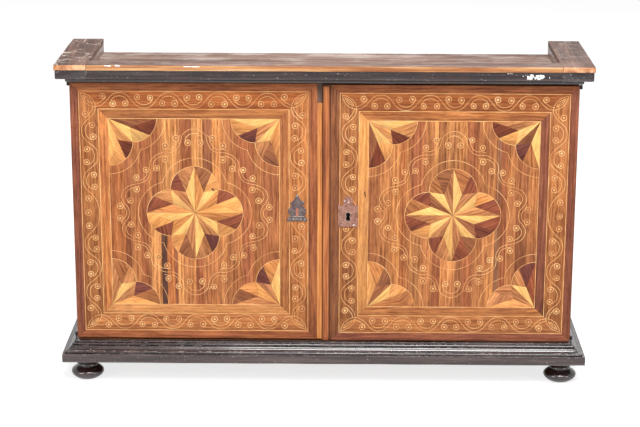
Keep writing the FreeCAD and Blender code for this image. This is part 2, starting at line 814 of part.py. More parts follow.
leftScroll = marquetry("left", 1, -fieldMiddle, leftMiddle,
                       (-half, leftBottom), (lippingStart, leftTop))
feature("left_scroll_band", leftScroll)
keep("left_lipping", box("left_lipping", (lippingStart, behind(zero), leftBottom),
                         (leftEdge, behind(s.lipping_depth), leftTop - s.lipping_top_gap)))

keeperBlank = box("keeper_blank", (leftEdge - s.keeper_thickness, keeperY, keeperLow),
                  (leftEdge, keeperY + s.keeper_width, keeperLow + s.keeper_height))
slack = s.keeper_slot_clearance
keeperSlot = box("keeper_slot", (leftEdge - s.keeper_thickness - s.overrun, lockBoltY - slack,
                                 lockBoltLow - slack),
                 (leftEdge + s.overrun, lockBoltY + s.lock_bolt_thickness + slack,
                  lockBoltLow + s.lock_bolt_height + slack))
keep("left_keeper", cut("left_keeper", keeperBlank, [keeperSlot]))

escutcheon = newBody("left_escutcheon")
escutcheonX = leftEdge - s.escutcheon_in
escutcheonZ = leftMiddle - s.escutcheon_drop
rightSide = [(s.escutcheon_half_width * u, s.escutcheon_height * v) for u, v in escutcheonShares]
outline = [(escutcheonX + u, escutcheonZ + v) for u, v in rightSide]
outline.append((escutcheonX, escutcheonZ + s.escutcheon_height))
outline += [(escutcheonX - u, escutcheonZ + v) for u, v in reversed(rightSide)]
pad(escutcheon, newSketch(escutcheon, "XZ_Plane", [plain(*outline)]),
    s.escutcheon_thickness - front, front)
keep("left_escutcheon", escutcheon)


# Shoot bolts behind the left door
def shootBolt(end, tip, direction):
    """A flat bolt whose tip is at this height at rest and that moves up (1) or down (-1)."""
    def span(start, length):
        return (start, start + length) if direction < 0 else (start - length, start)

    low, high = span(tip, s.shoot_length)
    bar = box(f"{end}_bolt_bar", (shootX - s.shoot_width / 2, shootY, low),
              (shootX + s.shoot_width / 2, shootY + s.shoot_thickness, high))
    middle = (low + high) / 2
    knob = cylinder(f"{end}_bolt_knob", (shootX, shootY, middle), s.knob_radius,
                    s.shoot_thickness + s.knob_length, True)
    keep(f"{end}_bolt", fused(f"{end}_bolt", [bar, knob]))

    plateTip = (railBottom - s.shoot_plate_gap) if direction > 0 else (floorTop + s.shoot_plate_gap)
    low, high = span(plateTip, s.shoot_plate_length)
    plateBack = coreBack + s.shoot_plate_thickness
    plate = box(f"{end}_bolt_plate", (shootX - s.shoot_plate_width / 2, coreBack, low),
                (shootX + s.shoot_plate_width / 2, plateBack, high))
    reach = s.shoot_width / 2 + s.shoot_clearance
    tunnelBack = shootY + s.shoot_thickness + s.shoot_clearance
    straps = []
    for number, start in enumerate((low + s.staple_from_end,
                                    high - s.staple_from_end - s.staple_height)):
        straps.append(box(f"{end}_staple_{number}", (shootX - reach - s.staple_wall, plateBack, start),
                          (shootX + reach + s.staple_wall, tunnelBack + s.staple_wall,
                           start + s.staple_height)))
    tunnel = box(f"{end}_bolt_tunnel", (shootX - reach, plateBack, low - s.overrun),
                 (shootX + reach, tunnelBack, high + s.overrun))
    return cut(f"{end}_bolt_guide", fused(f"{end}_bolt_frame", [plate] + straps), [tunnel])


keep("bolt_plates", grouped("bolt_plates", [shootBolt("upper", railBottom - s.shoot_gap, 1),
                                            shootBolt("lower", floorTop + s.shoot_gap, -1)]))

# Right door
rightBottom = baseTop + s.right_leaf_lift
rightTop = rightBottom + leafHeight
keyholeX = rightEdge + s.keyhole_in
keyholeLow = rightMiddle - s.keyhole_drop
keyholeHigh = keyholeLow + s.keyhole_pitch


def keyhole(name, depth):
    """A cutter with the keyhole's outline, from in front of the plate to this far behind the face."""
    start = behind(-s.lock_plate_thickness - s.overrun)
    length = s.lock_plate_thickness + s.overrun + depth
    return fused(name, [
        cylinder(name + "_high", (keyholeX, start, keyholeHigh), s.keyhole_high_radius, length, True),
        cylinder(name + "_low", (keyholeX, start, keyholeLow), s.keyhole_low_radius, length, True),
        box(name + "_waist", (keyholeX - s.keyhole_waist / 2, start, keyholeLow),
            (keyholeX + s.keyhole_waist / 2, start + length, keyholeHigh)),
    ])


caseLow = keyholeLow - s.lock_case_below
caseHigh = caseLow + s.lock_case_height
caseFront = coreBack - s.lock_mortise_depth
caseEnd = rightEdge + s.lock_case_length
slack = s.lock_case_clearance
lockMortise = box("lock_mortise", (rightEdge - s.overrun, caseFront - slack, caseLow - slack),
                  (caseEnd + slack, coreBack + s.overrun, caseHigh + slack))
rightBlank = box("right_core_blank", (rightEdge, coreFront, rightBottom), (half, coreBack, rightTop))
keep("right_core", cut("right_core", rightBlank,
                       [fused("right_core_hollow", [lockMortise, keyhole("core_keyhole", leafThickness)])]
                       + hinge("right", 1, rightBottom)))

beadEnd = rightEdge + s.bead_width
rightScroll = marquetry("right", -1, fieldMiddle, rightMiddle,
                        (beadEnd + s.bead_quirk, rightBottom), (half, rightTop))
document.recompute()
bandCut = keyhole("band_keyhole", s.veneer_thickness + s.overrun)
document.recompute()
feature("right_scroll_band", [strip.cut(bandCut.Shape) for strip in rightScroll])

# The bead stands on the core and hangs a little below the leaf, with a rounded end
beadMiddle = rightEdge + s.bead_width / 2
beadBottom = rightBottom - s.bead_hang
beadTop = rightTop - s.bead_top_gap
beadBody = newBody("meeting_bead_blank")
beadFace = front - s.bead_proud / 2
pad(beadBody, newSketch(beadBody, "XY_Plane", [[
    (rightEdge, coreFront, None), (beadEnd, coreFront, None), (beadEnd, beadFace, None),
    (rightEdge, beadFace, (beadMiddle, front - s.bead_proud))]]), beadTop, -beadBottom)
heelCut = box("bead_heel", (rightEdge - s.overrun, behind(zero), beadBottom - s.overrun),
              (beadEnd + s.overrun, coreFront + s.overrun, rightBottom))
keep("meeting_bead", cut("meeting_bead", beadBody, [heelCut]))

# Lock plate with its round crest
plateBody = newBody("lock_plate_blank")
plateLeft = keyholeX - s.lock_plate_width / 2
plateRight = keyholeX + s.lock_plate_width / 2
plateLow = keyholeLow - s.lock_plate_below
plateHigh = plateLow + s.lock_plate_height
crestLeft = keyholeX - s.crest_radius
crestRight = keyholeX + s.crest_radius
crestZ = plateHigh + s.crest_rise
hollowAcross = s.crest_radius * crestHollowShares[0]
hollowZ = plateHigh + s.crest_rise * crestHollowShares[1]
pad(plateBody, newSketch(plateBody, "XZ_Plane", [[
    (plateLeft, plateLow, None), (plateRight, plateLow, None), (plateRight, plateHigh, None),
    (crestRight, crestZ, (keyholeX + hollowAcross, hollowZ)),
    (crestLeft, crestZ, (keyholeX, crestZ + s.crest_radius)),
    (plateLeft, plateHigh, (keyholeX - hollowAcross, hollowZ))]]),
    s.lock_plate_thickness - front, front)
keep("lock_plate", cut("lock_plate", plateBody, [keyhole("plate_keyhole", zero)]))

# Lock case: an iron box with a slot for the bolt and a keyhole in its front wall
caseBlank = box("lock_case_blank", (rightEdge, caseFront, caseLow), (caseEnd, coreBack, caseHigh))
wall = s.lock_case_wall
caseHollow = box("lock_case_hollow", (rightEdge + wall, caseFront + wall, caseLow + wall),
                 (caseEnd - wall, coreBack - wall, caseHigh - wall))
play = s.lock_bolt_clearance
caseSlot = box("lock_case_slot", (rightEdge - s.overrun, lockBoltY - play, lockBoltLow - play),
               (rightEdge + wall + wall, lockBoltY + s.lock_bolt_thickness + play,
                lockBoltLow + s.lock_bolt_height + play))
caseKeyhole = keyhole("case_keyhole", leafThickness - s.lock_mortise_depth + wall + s.overrun)
keep("lock_case", cut("lock_case", caseBlank,
                      [fused("lock_case_inside", [caseHollow, caseSlot, caseKeyhole])]))

boltStart = rightEdge + s.lock_bolt_inside
boltBlank = box("lock_bolt_blank", (boltStart, lockBoltY, lockBoltLow),
                (boltStart + s.lock_bolt_length, lockBoltY + s.lock_bolt_thickness,
                 lockBoltLow + s.lock_bolt_height))
talon = box("lock_bolt_talon", (rightEdge + s.talon_in, lockBoltY - s.overrun, lockBoltLow - s.overrun),
            (rightEdge + s.talon_in + s.talon_width, lockBoltY + s.lock_bolt_thickness + s.overrun,
             lockBoltLow + s.talon_depth))
keep("lock_bolt", cut("lock_bolt", boltBlank, [talon]))

document.recompute()

# Nothing is written unless every object is sound
for item in document.Objects:
    if "Invalid" in item.State or "Error" in item.State:
        raise RuntimeError(f"{item.Label} is not sound: {item.State}")
for name, item in pieces.items():
    if item.Label != name:
        raise RuntimeError(f"{item.Label} should be named {name}")
    if item.Shape.isNull() or not item.Shape.isValid() or not item.Shape.Solids:
        raise RuntimeError(f"{name} has no valid shape")
for name in ("base_front", "base_left_moulding", "base_right_moulding", "fillet_front", "fillet_left",
             "fillet_right"):
    solid = document.getObject(name)
    if solid.Shape.Volume >= document.getObject(name + "_pad").Shape.Volume:
        raise RuntimeError(f"{name} has lost its mitres")

os.makedirs("parts", exist_ok=True)
for name, item in pieces.items():
    item.Shape.exportStep(f"parts/{name}.step")
    print(name, len(item.Shape.Solids), round(item.Shape.Volume))
print(len(pieces), "pieces")
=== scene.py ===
import math
import random

import bmesh
import bpy
from mathutils import Matrix, Vector, noise


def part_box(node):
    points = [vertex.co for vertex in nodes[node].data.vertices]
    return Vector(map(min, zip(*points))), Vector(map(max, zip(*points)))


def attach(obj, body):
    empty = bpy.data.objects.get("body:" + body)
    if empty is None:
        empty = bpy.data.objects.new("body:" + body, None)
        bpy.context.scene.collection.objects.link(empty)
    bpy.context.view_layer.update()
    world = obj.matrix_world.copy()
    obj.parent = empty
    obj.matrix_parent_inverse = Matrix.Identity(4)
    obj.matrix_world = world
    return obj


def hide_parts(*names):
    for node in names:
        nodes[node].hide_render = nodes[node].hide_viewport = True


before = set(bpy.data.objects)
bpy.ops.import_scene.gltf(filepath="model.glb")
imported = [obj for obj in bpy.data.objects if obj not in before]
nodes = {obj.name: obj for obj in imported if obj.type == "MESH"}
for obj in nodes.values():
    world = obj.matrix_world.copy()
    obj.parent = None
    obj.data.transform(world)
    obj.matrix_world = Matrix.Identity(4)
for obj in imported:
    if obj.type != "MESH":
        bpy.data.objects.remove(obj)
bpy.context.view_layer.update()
mm = 0.001
noise.seed_set(3)  # the boards come out alike in each run


def paint(red, green, blue):  # display values from 0 to 255, made linear
    return tuple(((value / 255 + 0.055) / 1.055) ** 2.4 for value in (red, green, blue)) + (1.0,)


# Camera, lamps and floor
view = {"place": (0.0346, -3.714, 1.372), "down": 0.2753, "aside": 0.0117, "roll": 0.0027, "lens": 105.5}
studio = {
    "world": 0.38,
    "lamps": [  # name, place, size, power
        ("overhead", (0.25, -1.5, 3.0), 1.4, 92),
        ("left", (-2.9, -2.7, 1.7), 1.6, 42),
        ("right", (3.0, -2.4, 1.5), 1.6, 25),
        ("strip", (0.7, -2.1, 2.3), (1.6, 0.25), 18),
        ("rear", (0.6, 3.0, 2.4), 2.4, 22),
    ],
    "aim": (0, 0, 0.3),
    "floorWhite": 0.46,
    "floorGlow": 0.76,
    "mirrored": 0.65,
    "floorSize": 60,
}


def makeCamera():
    camera = bpy.data.objects.new("camera", bpy.data.cameras.new("camera"))
    camera.data.lens = view["lens"]
    turn = Matrix.Rotation(view["aside"], 4, "Z") @ Matrix.Rotation(math.pi / 2 - view["down"], 4, "X")
    camera.matrix_world = Matrix.Translation(view["place"]) @ turn @ Matrix.Rotation(view["roll"], 4, "Z")
    bpy.context.scene.collection.objects.link(camera)
    bpy.context.scene.camera = camera


class Nodes:  # short calls for one node tree
    def __init__(self, tree):
        self.tree = tree
        tree.nodes.clear()

    def add(self, kind, inputs=None, **settings):
        node = self.tree.nodes.new("ShaderNode" + kind)
        for name, value in settings.items():
            setattr(node, name, value)
        for name, value in (inputs or {}).items():
            if isinstance(value, bpy.types.NodeSocket):
                self.tree.links.new(value, node.inputs[name])
            else:
                node.inputs[name].default_value = value
        return node

    def maths(self, operation, first, second=0.0, clamp=False):
        return self.add("Math", {0: first, 1: second}, operation=operation, use_clamp=clamp).outputs[0]

    def times(self, value, *others):
        for other in others:
            value = self.maths("MULTIPLY", value, other)
        return value

    def plus(self, first, second):  # a sum that stays within 0 and 1
        return self.maths("ADD", first, second, clamp=True)

    def near(self, value, middle, reach):  # 1 within the reach of a place and 0 elsewhere
        return self.add("Math", {0: value, 1: middle, 2: reach}, operation="COMPARE").outputs[0]

    def mix(self, factor, first, second, blend="MIX"):
        node = self.add("Mix", {0: factor, 6: first, 7: second}, data_type="RGBA", blend_type=blend)
        return node.outputs[2]

    def dim(self, colour, share):
        grey = self.add("CombineColor", {0: share, 1: share, 2: share}).outputs[0]
        return self.mix(1.0, colour, grey, "MULTIPLY")

    def ramp(self, value, tones, marks):  # from dark over middle to light, between two pairs of marks
        dark, middle, light = (paint(*tone) for tone in tones)
        half = self.mix(self.level(value, *marks[0]), dark, middle)
        return self.mix(self.level(value, *marks[1]), half, light)

    def level(self, value, low, high, start=0.0, end=1.0):  # low..high becomes start..end
        inputs = {"Value": value, "From Min": low, "From Max": high, "To Min": start, "To Max": end}
        return self.add("MapRange", inputs).outputs[0]

    def noise(self, coords, detail=4.0, rough=0.6, scale=1.0, warp=0.0):
        inputs = {"Vector": coords, "Scale": scale, "Detail": detail, "Roughness": rough, "Distortion": warp}
        return self.add("TexNoise", inputs).outputs[0]

    def stretch(self, coords, scale):
        return self.add("Mapping", {"Vector": coords, "Scale": scale}).outputs[0]

    def place(self):
        return self.add("TexCoord").outputs["Object"]

    def split(self, vector):
        return self.add("SeparateXYZ", {0: vector}).outputs

    def seen(self):  # 1 for rays that show the background itself, less for its reflection
        path = self.add("LightPath").outputs
        return self.plus(path["Is Camera Ray"], self.times(path["Is Glossy Ray"], studio["mirrored"]))


def makeStudio():
    world = bpy.data.worlds.new("studio")
    world.use_nodes = True
    tree = Nodes(world.node_tree)
    strength = tree.level(tree.seen(), 0, 1, studio["world"], 1.0)
    sky = tree.add("Background", {"Color": (1, 1, 1, 1), "Strength": strength})
    tree.add("OutputWorld", {"Surface": sky.outputs[0]})
    bpy.context.scene.world = world
    bpy.context.scene.view_settings.view_transform = "Standard"
    for name, place, size, power in studio["lamps"]:
        lamp = bpy.data.objects.new("lamp_" + name, bpy.data.lights.new("lamp_" + name, "AREA"))
        if isinstance(size, tuple):
            lamp.data.shape = "RECTANGLE"
            lamp.data.size, lamp.data.size_y = size
        else:
            lamp.data.size = size
        lamp.data.energy = power
        lamp.location = place
        lamp.rotation_euler = (Vector(studio["aim"]) - Vector(place)).to_track_quat("-Z", "Y").to_euler()
        bpy.context.scene.collection.objects.link(lamp)

    material = bpy.data.materials.new("floor_white")
    material.use_nodes = True
    tree = Nodes(material.node_tree)
    white = (studio["floorWhite"],) * 3 + (1,)
    plain = tree.add("BsdfDiffuse", {"Color": white})
    strength = tree.level(tree.seen(), 0, 1, 0, studio["floorGlow"])
    glow = tree.add("Emission", {"Color": (1, 1, 1, 1), "Strength": strength})
    both = tree.add("AddShader", {0: plain.outputs[0], 1: glow.outputs[0]})
    tree.add("OutputMaterial", {"Surface": both.outputs[0]})
    bm = bmesh.new()
    bmesh.ops.create_grid(bm, x_segments=1, y_segments=1, size=studio["floorSize"] / 2)
    mesh = bpy.data.meshes.new("floor")
    bm.to_mesh(mesh)
    bm.free()
    mesh.materials.append(material)
    floor = bpy.data.objects.new("floor", mesh)
    bpy.context.scene.collection.objects.link(floor)


makeCamera()
makeStudio()
print("camera, lamps and floor are up")


# Materials
def finish(tree, material, colour, rough, height, bump, coat=0.0, coatRough=0.2, metal=0.0, gloss=0.35):
    inputs = {"Base Color": colour, "Roughness": rough, "Metallic": metal, "Coat Weight": coat}
    inputs["Coat Roughness"] = coatRough
    inputs["Specular IOR Level"] = gloss
    inputs["Normal"] = tree.add("Bump", {"Height": height, "Strength": bump, "Distance": mm}).outputs[0]
    shader = tree.add("BsdfPrincipled", inputs)
    tree.add("OutputMaterial", {"Surface": shader.outputs[0]})
    return material


def newMaterial(name):
    material = bpy.data.materials.new(name)
    material.use_nodes = True
    return material, Nodes(material.node_tree)


veneerLook = {
    # shares of the colour at its darkest and lightest, in a plain and in a strongly figured wood
    "plain": ((0.84, 0.76, 0.66, 1), (1.07, 1.1, 1.14, 1)),
    "figured": ((0.46, 0.35, 0.30, 1), (1.36, 1.42, 1.5, 1)),
    "fine": (36, 540, 1),  # streaks per metre along and across the grain
    "broad": (7, 92, 1),
    "rings": (1.6, 42, 1),
    "patch": (12, 34, 1),
    "cloud": ((0.80, 0.73, 0.76, 1), (1.12, 1.09, 1.0, 1)),  # shares of the colour over a patch
    "pores": (60, 1500, 1),
    "weights": (0.42, 0.42, 0.16),
    "rough": (0.4, 0.54),
    "bump": 0.25,
}


def veneerMaterial():  # the piece carries its wood's colour, how figured it is and where its grain runs
    material, tree = newMaterial("sawn_veneer")
    grain = tree.add("UVMap", uv_map="grain").outputs[0]
    wood = tree.add("Attribute", attribute_name="tone")
    fine = tree.level(tree.noise(tree.stretch(grain, veneerLook["fine"]), 5, 0.75, warp=0.4), 0.36, 0.64)
    broad = tree.level(tree.noise(tree.stretch(grain, veneerLook["broad"]), 4, 0.6, warp=1.3), 0.36, 0.64)
    inputs = {"Vector": tree.stretch(grain, veneerLook["rings"]), "Scale": 1.0, "Distortion": 7.0,
              "Detail": 3.0, "Detail Scale": 0.7}
    rings = tree.add("TexWave", inputs, bands_direction="Y").outputs["Fac"]
    streak = 0.0
    for part, weight in zip((fine, broad, rings), veneerLook["weights"]):
        streak = tree.maths("ADD", streak, tree.times(part, weight))
    shades = []
    for plain, figured in zip(veneerLook["plain"], veneerLook["figured"]):
        shades.append(tree.mix(1.0, wood.outputs["Color"], tree.mix(wood.outputs["Alpha"], plain, figured),
                               "MULTIPLY"))
    colour = tree.mix(tree.level(streak, 0.2, 0.8), *shades)
    patch = tree.noise(tree.stretch(grain, veneerLook["patch"]), 3, 0.5)
    cloud = tree.mix(tree.level(patch, 0.34, 0.66), *veneerLook["cloud"])
    colour = tree.mix(1.0, colour, cloud, "MULTIPLY")
    pores = tree.noise(tree.stretch(grain, veneerLook["pores"]), 1, 0.5)
    colour = tree.dim(colour, tree.level(pores, 0.32, 0.42, 0.56, 1.0))
    rough = tree.level(streak, 0.2, 0.8, *veneerLook["rough"])
    return finish(tree, material, colour, rough, streak, veneerLook["bump"], coat=0.03, gloss=0.22)


boardLooks = {
    # tones dark, middle and light, the axis of the grain, roughness, and what lies on the wood
    "carcass_wood": {"tones": ((92, 58, 38), (128, 84, 56), (156, 108, 74)), "axis": 0, "rough": 0.72},
    "upright_wood": {"tones": ((92, 58, 38), (128, 84, 56), (156, 108, 74)), "axis": 2, "rough": 0.72},
    "side_wood": {"tones": ((84, 44, 28), (122, 66, 42), (150, 90, 58)), "axis": 2, "rough": 0.46},
    "back_wood": {"tones": ((96, 66, 46), (134, 96, 68), (160, 122, 90)), "axis": 2, "rough": 0.82},
    "door_wood": {"tones": ((88, 52, 34), (120, 76, 50), (148, 100, 68)), "axis": 2, "rough": 0.62,
                  "stain": {"x": (-0.0082, 0.0056), "z": (0.599, 0.02), "tone": (150, 132, 124)}},
    "lipping_wood": {"tones": ((160, 92, 48), (220, 144, 78), (246, 182, 108)), "axis": 2, "rough": 0.48},
    "bead_wood": {"tones": ((114, 58, 34), (180, 104, 58), (216, 142, 82)), "axis": 2, "rough": 0.36},
    "cap_wood": {"tones": ((70, 46, 38), (108, 78, 66), (142, 110, 96)), "axis": 0, "rough": 0.6, "blotch": 9,
                 "dust": (0.3, (206, 188, 176)), "edge": ((149, 90, 54), (198, 141, 91), (226, 183, 137))},
    "cap_side_wood": {"tones": ((60, 38, 30), (98, 68, 56), (134, 100, 86)), "axis": 1, "rough": 0.6,
                      "blotch": 9, "dust": (0.16, (204, 184, 172)),
                      "edge": ((164, 106, 74), (212, 150, 106), (240, 192, 150)),
                      "cracks": (0.3, 0.8)},
    "roof_wood": {"tones": ((84, 60, 52), (124, 97, 85), (162, 133, 119)), "axis": 0, "rough": 0.8,
                  "blotch": 6, "dust": (0.45, (214, 200, 190))},
}


# Waves per metre along and across the grain, and where the three tones meet
boardGrain = {"fine": (9.0, 300.0), "broad": (2.4, 44.0), "patch": (5.0, 18.0), "weights": (0.45, 0.55),
              "marks": ((0.12, 0.5), (0.5, 0.9))}
hairlines = {"scale": 24.0, "bend": 0.03, "bendScale": 55.0, "width": (0.034, 0.008), "between": (0.1, -0.1),
             "tone": (224, 202, 188)}


def dusted(tree, look, place, patchScale, up, colour):  # powder and flecks on what faces up
    amount, tone = look["dust"]
    powder = tree.noise(tree.stretch(place, [value * 1.7 for value in patchScale]), 7, 0.72)
    fleck = tree.noise(place, 3, 0.6, scale=230)
    cover = tree.plus(tree.level(powder, 0.47, 0.62), tree.level(fleck, 0.6, 0.7, 0, 0.5))
    cover = tree.times(cover, tree.level(up, 0.5, 0.95, 0, amount))
    return tree.mix(cover, colour, paint(*tone)), tree.level(cover, 0, 0.5, look["rough"], 0.9)


def cracked(tree, strengths, place, colour):  # pale hairlines in the old finish, weaker to the right
    inputs = {"Vector": place, "Scale": hairlines["bendScale"], "Detail": 4.0}
    sway = tree.add("TexNoise", inputs).outputs["Color"]
    bent = tree.add("VectorMath", {0: sway, 1: [hairlines["bend"]] * 3, 2: place}, operation="MULTIPLY_ADD")
    inputs = {"Vector": bent.outputs["Vector"], "Scale": hairlines["scale"]}
    cells = tree.add("TexVoronoi", inputs, feature="DISTANCE_TO_EDGE")
    line = tree.level(cells.outputs["Distance"], *hairlines["width"])
    where = tree.level(tree.noise(place, 3, 0.6, scale=13), 0.46, 0.54)
    strength = tree.level(tree.split(place)["X"], *hairlines["between"], *strengths)
    return tree.mix(tree.times(line, where, strength), colour, paint(*hairlines["tone"]))


def stained(tree, stain, place, patch, fine, colour):  # dirt where a strip of the front is lost
    spot = tree.split(place)
    cover = tree.times(tree.near(spot["X"], *stain["x"]), tree.near(spot["Z"], *stain["z"]),
                       tree.level(patch, 0.3, 0.6, 0.5, 1), tree.level(fine, 0, 1, 0.6, 1))
    return tree.mix(cover, colour, paint(*stain["tone"]))


def boardMaterial(name):
    look = boardLooks[name]
    material, tree = newMaterial(name)
    place = tree.place()
    normal = tree.split(tree.add("NewGeometry").outputs["Normal"])
    scales = {}
    for part in ("fine", "broad", "patch"):
        along, across = boardGrain[part]
        scales[part] = [across] * 3
        scales[part][look["axis"]] = look.get("blotch", along) if part == "patch" else along
    fine = tree.level(tree.noise(tree.stretch(place, scales["fine"]), 5, 0.7), 0.36, 0.64)
    broad = tree.level(tree.noise(tree.stretch(place, scales["broad"]), 4, 0.6, warp=0.8), 0.36, 0.64)
    patch = tree.noise(tree.stretch(place, scales["patch"]), 4, 0.6)
    fineWeight, broadWeight = boardGrain["weights"]
    streak = tree.maths("ADD", tree.times(fine, fineWeight), tree.times(broad, broadWeight))
    colour = tree.ramp(streak, look["tones"], boardGrain["marks"])
    colour = tree.mix(tree.level(patch, 0.5, 0.3, 0, 0.4), colour, paint(*look["tones"][0]))
    rough = look["rough"]
    if "dust" in look:
        colour, rough = dusted(tree, look, place, scales["patch"], normal["Z"], colour)
    if "cracks" in look:
        colour = cracked(tree, look["cracks"], place, colour)
    if "edge" in look:  # worn bare towards the front
        bare = tree.ramp(streak, look["edge"], boardGrain["marks"])
        colour = tree.mix(tree.level(normal["Y"], -0.35, -0.75), colour, bare)
    if "stain" in look:
        colour = stained(tree, look["stain"], place, patch, fine, colour)
    return finish(tree, material, colour, rough, streak, 0.35)


inlayLooks = {  # dark, middle and light tones, roughness
    "string_inlay": ((206, 142, 86), (234, 176, 112), (250, 210, 150), 0.42),
    "eye_inlay": ((142, 86, 54), (166, 104, 64), (188, 124, 78), 0.5),
    "white_filler": ((224, 218, 212), (244, 240, 236), (255, 253, 250), 0.8),
    # painted shade of holes that are not cut: the keyhole, the worm holes and the knot hollow
    "painted_hole_shade": ((30, 20, 16), (44, 30, 24), (60, 42, 34), 0.9),
    "keyhole_plug": ((122, 62, 46), (158, 88, 68), (182, 118, 94), 0.6),
}


def inlayMaterial(name):
    *tones, rough = inlayLooks[name]
    material, tree = newMaterial(name)
    worn = tree.noise(tree.place(), 4, 0.6, scale=38)
    colour = tree.ramp(worn, tones, ((0.34, 0.5), (0.52, 0.7)))
    return finish(tree, material, colour, rough, worn, 0.1)


ebonyLook = {
    "black": (29, 10, 13), "brown": (56, 29, 27), "bare": (190, 176, 172), "rough": (0.07, 0.2),
    "edge": 0.0016, "paintedGrooveShade": 0.01,  # how far in from an arris it is rubbed, and how far painted shade reaches into a groove
    "cloud": 20, "streak": (5, 150, 150), "speck": (160, 420, 420), "chip": (110, 240, 240),
    "inner": ((98, 70, 62), (168, 142, 130)), "innerReach": (0.4635, 0.0935, 0.6301), "innerRough": 0.5,
    "fascia": ((30, 15, 15), (62, 42, 40)), "fasciaReach": (0.0465, 0.0643), "fasciaRough": 0.3,
}


def ebonyMaterial():  # black stain, rubbed through on the arrises, dull on the base, bare towards the tray, with painted shade in the grooves
    look = ebonyLook
    material, tree = newMaterial("ebonised_wood")
    place = tree.place()
    spot = tree.split(place)
    flat = tree.add("NewGeometry").outputs["Normal"]
    bareTone = paint(*look["bare"])
    cloud = tree.noise(place, 5, 0.65, scale=look["cloud"])
    streak = tree.noise(tree.stretch(place, look["streak"]), 5, 0.7)
    speck = tree.noise(tree.stretch(place, look["speck"]), 3, 0.6)
    chip = tree.noise(tree.stretch(place, look["chip"]), 2, 0.5)
    colour = tree.mix(tree.level(cloud, 0.46, 0.7), paint(*look["black"]), paint(*look["brown"]))
    low, high = look["fasciaReach"]
    fascia = tree.times(tree.maths("GREATER_THAN", spot["Z"], low), tree.maths("LESS_THAN", spot["Z"], high))
    dull = tree.mix(tree.level(streak, 0.38, 0.62), *(paint(*tone) for tone in look["fascia"]))
    colour = tree.mix(fascia, colour, dull)
    # painted shade: the colour darkens where ambient occlusion finds grooves, corners and the gaps under the
    # doors
    paintedGrooveShade = tree.add("AmbientOcclusion", {"Distance": look["paintedGrooveShade"]}, samples=4).outputs["AO"]
    colour = tree.dim(colour, tree.level(paintedGrooveShade, 0.3, 0.85, 0.25, 1.0))
    colour = tree.mix(tree.level(streak, 0.48, 0.68, 0, 0.1), colour, bareTone)
    soft = tree.add("Bevel", {"Radius": look["edge"]}, samples=4).outputs[0]
    turn = tree.add("VectorMath", {0: soft, 1: flat}, operation="DOT_PRODUCT").outputs["Value"]
    edge = tree.level(turn, 0.99, 0.88)
    worn = tree.times(edge, tree.level(cloud, 0.4, 0.6), tree.level(streak, 0.42, 0.56, 0, 0.7))
    worn = tree.plus(worn, tree.times(edge, tree.level(chip, 0.56, 0.6)))
    worn = tree.plus(worn, tree.level(speck, 0.66, 0.72, 0, 0.8))
    colour = tree.mix(worn, colour, bareTone)
    across, ahead, low = look["innerReach"]
    inner = tree.times(tree.maths("LESS_THAN", tree.maths("ABSOLUTE", spot["X"]), across),
                       tree.maths("GREATER_THAN", spot["Y"], -ahead),
                       tree.maths("GREATER_THAN", spot["Z"], low))
    bare = tree.mix(tree.level(streak, 0.4, 0.64), *(paint(*tone) for tone in look["inner"]))
    colour = tree.mix(inner, colour, bare)
    rough = tree.level(cloud, 0.3, 0.7, *look["rough"])
    rough = tree.plus(rough, tree.times(inner, look["innerRough"]))
    rough = tree.plus(rough, tree.times(fascia, look["fasciaRough"]))
    return finish(tree, material, colour, rough, streak, 0.2, coat=0.35, coatRough=0.07, gloss=0.8)


ironLooks = {  # dark, brown and pale tones, range of roughness
    "wrought_iron": ((70, 60, 56), (112, 92, 84), (172, 158, 150), (0.42, 0.66)),
    "patchy_iron": ((80, 62, 68), (108, 92, 90), (146, 138, 130), (0.42, 0.66)),
    "rubbed_iron": ((104, 94, 88), (146, 134, 124), (192, 182, 170), (0.36, 0.56)),
    "black_iron": ((30, 22, 22), (48, 38, 36), (92, 80, 76), (0.4, 0.6)),
    "browned_plate": ((118, 76, 64), (158, 110, 94), (204, 164, 146), (0.38, 0.6)),
    "bright_iron": ((176, 150, 140), (216, 200, 194), (244, 238, 232), (0.3, 0.45)),
}


def ironMaterial(name):
    dark, brown, pale, rough = ironLooks[name]
    material, tree = newMaterial(name)
    cloud = tree.noise(tree.place(), 5, 0.65, scale=110)
    speck = tree.noise(tree.place(), 3, 0.6, scale=420)
    colour = tree.mix(tree.level(cloud, 0.38, 0.56), paint(*dark), paint(*brown))
    colour = tree.mix(tree.level(speck, 0.52, 0.66, 0, 0.75), colour, paint(*pale))
    rough = tree.level(speck, 0.3, 0.7, *rough)
    return finish(tree, material, colour, rough, cloud, 0.5, metal=0.3, gloss=0.5)


veneer = veneerMaterial()
ebony = ebonyMaterial()
boards = {name: boardMaterial(name) for name in boardLooks}
inlays = {name: inlayMaterial(name) for name in inlayLooks}
irons = {name: ironMaterial(name) for name in ironLooks}
print("materials are mixed")


# Shapes
def mergedCopy(node):
    bm = bmesh.new()
    bm.from_mesh(nodes[node].data)
    bmesh.ops.remove_doubles(bm, verts=bm.verts, dist=0.01 * mm)
    bmesh.ops.dissolve_limit(bm, angle_limit=math.radians(0.4), verts=bm.verts, edges=bm.edges)
    return bm


def cutAcross(bm, axis, place):
    normal = Vector((0, 0, 0))
    normal[axis] = 1
    bmesh.ops.bisect_plane(bm, geom=bm.verts[:] + bm.edges[:] + bm.faces[:], plane_co=normal * place,
                           plane_no=normal)


def sliceAlong(bm, axis, step):
    places = [vert.co[axis] for vert in bm.verts]
    low, high = min(places), max(places)
    count = int((high - low) / step)
    for index in range(1, count + 1):
        cutAcross(bm, axis, low + (high - low) * index / (count + 1))


def handMade(bm, amount, scale, seed):  # slow unevenness, as a plane or a lathe leaves it
    shift = Vector((seed * 7.31, seed * 3.17, seed * 1.93))
    for vert in bm.verts:
        vert.co += noise.noise_vector(vert.co * scale + shift) * amount


def sharpEdges(bm, angle):
    return [edge for edge in bm.edges if edge.is_manifold and edge.calc_face_angle(0) > math.radians(angle)]


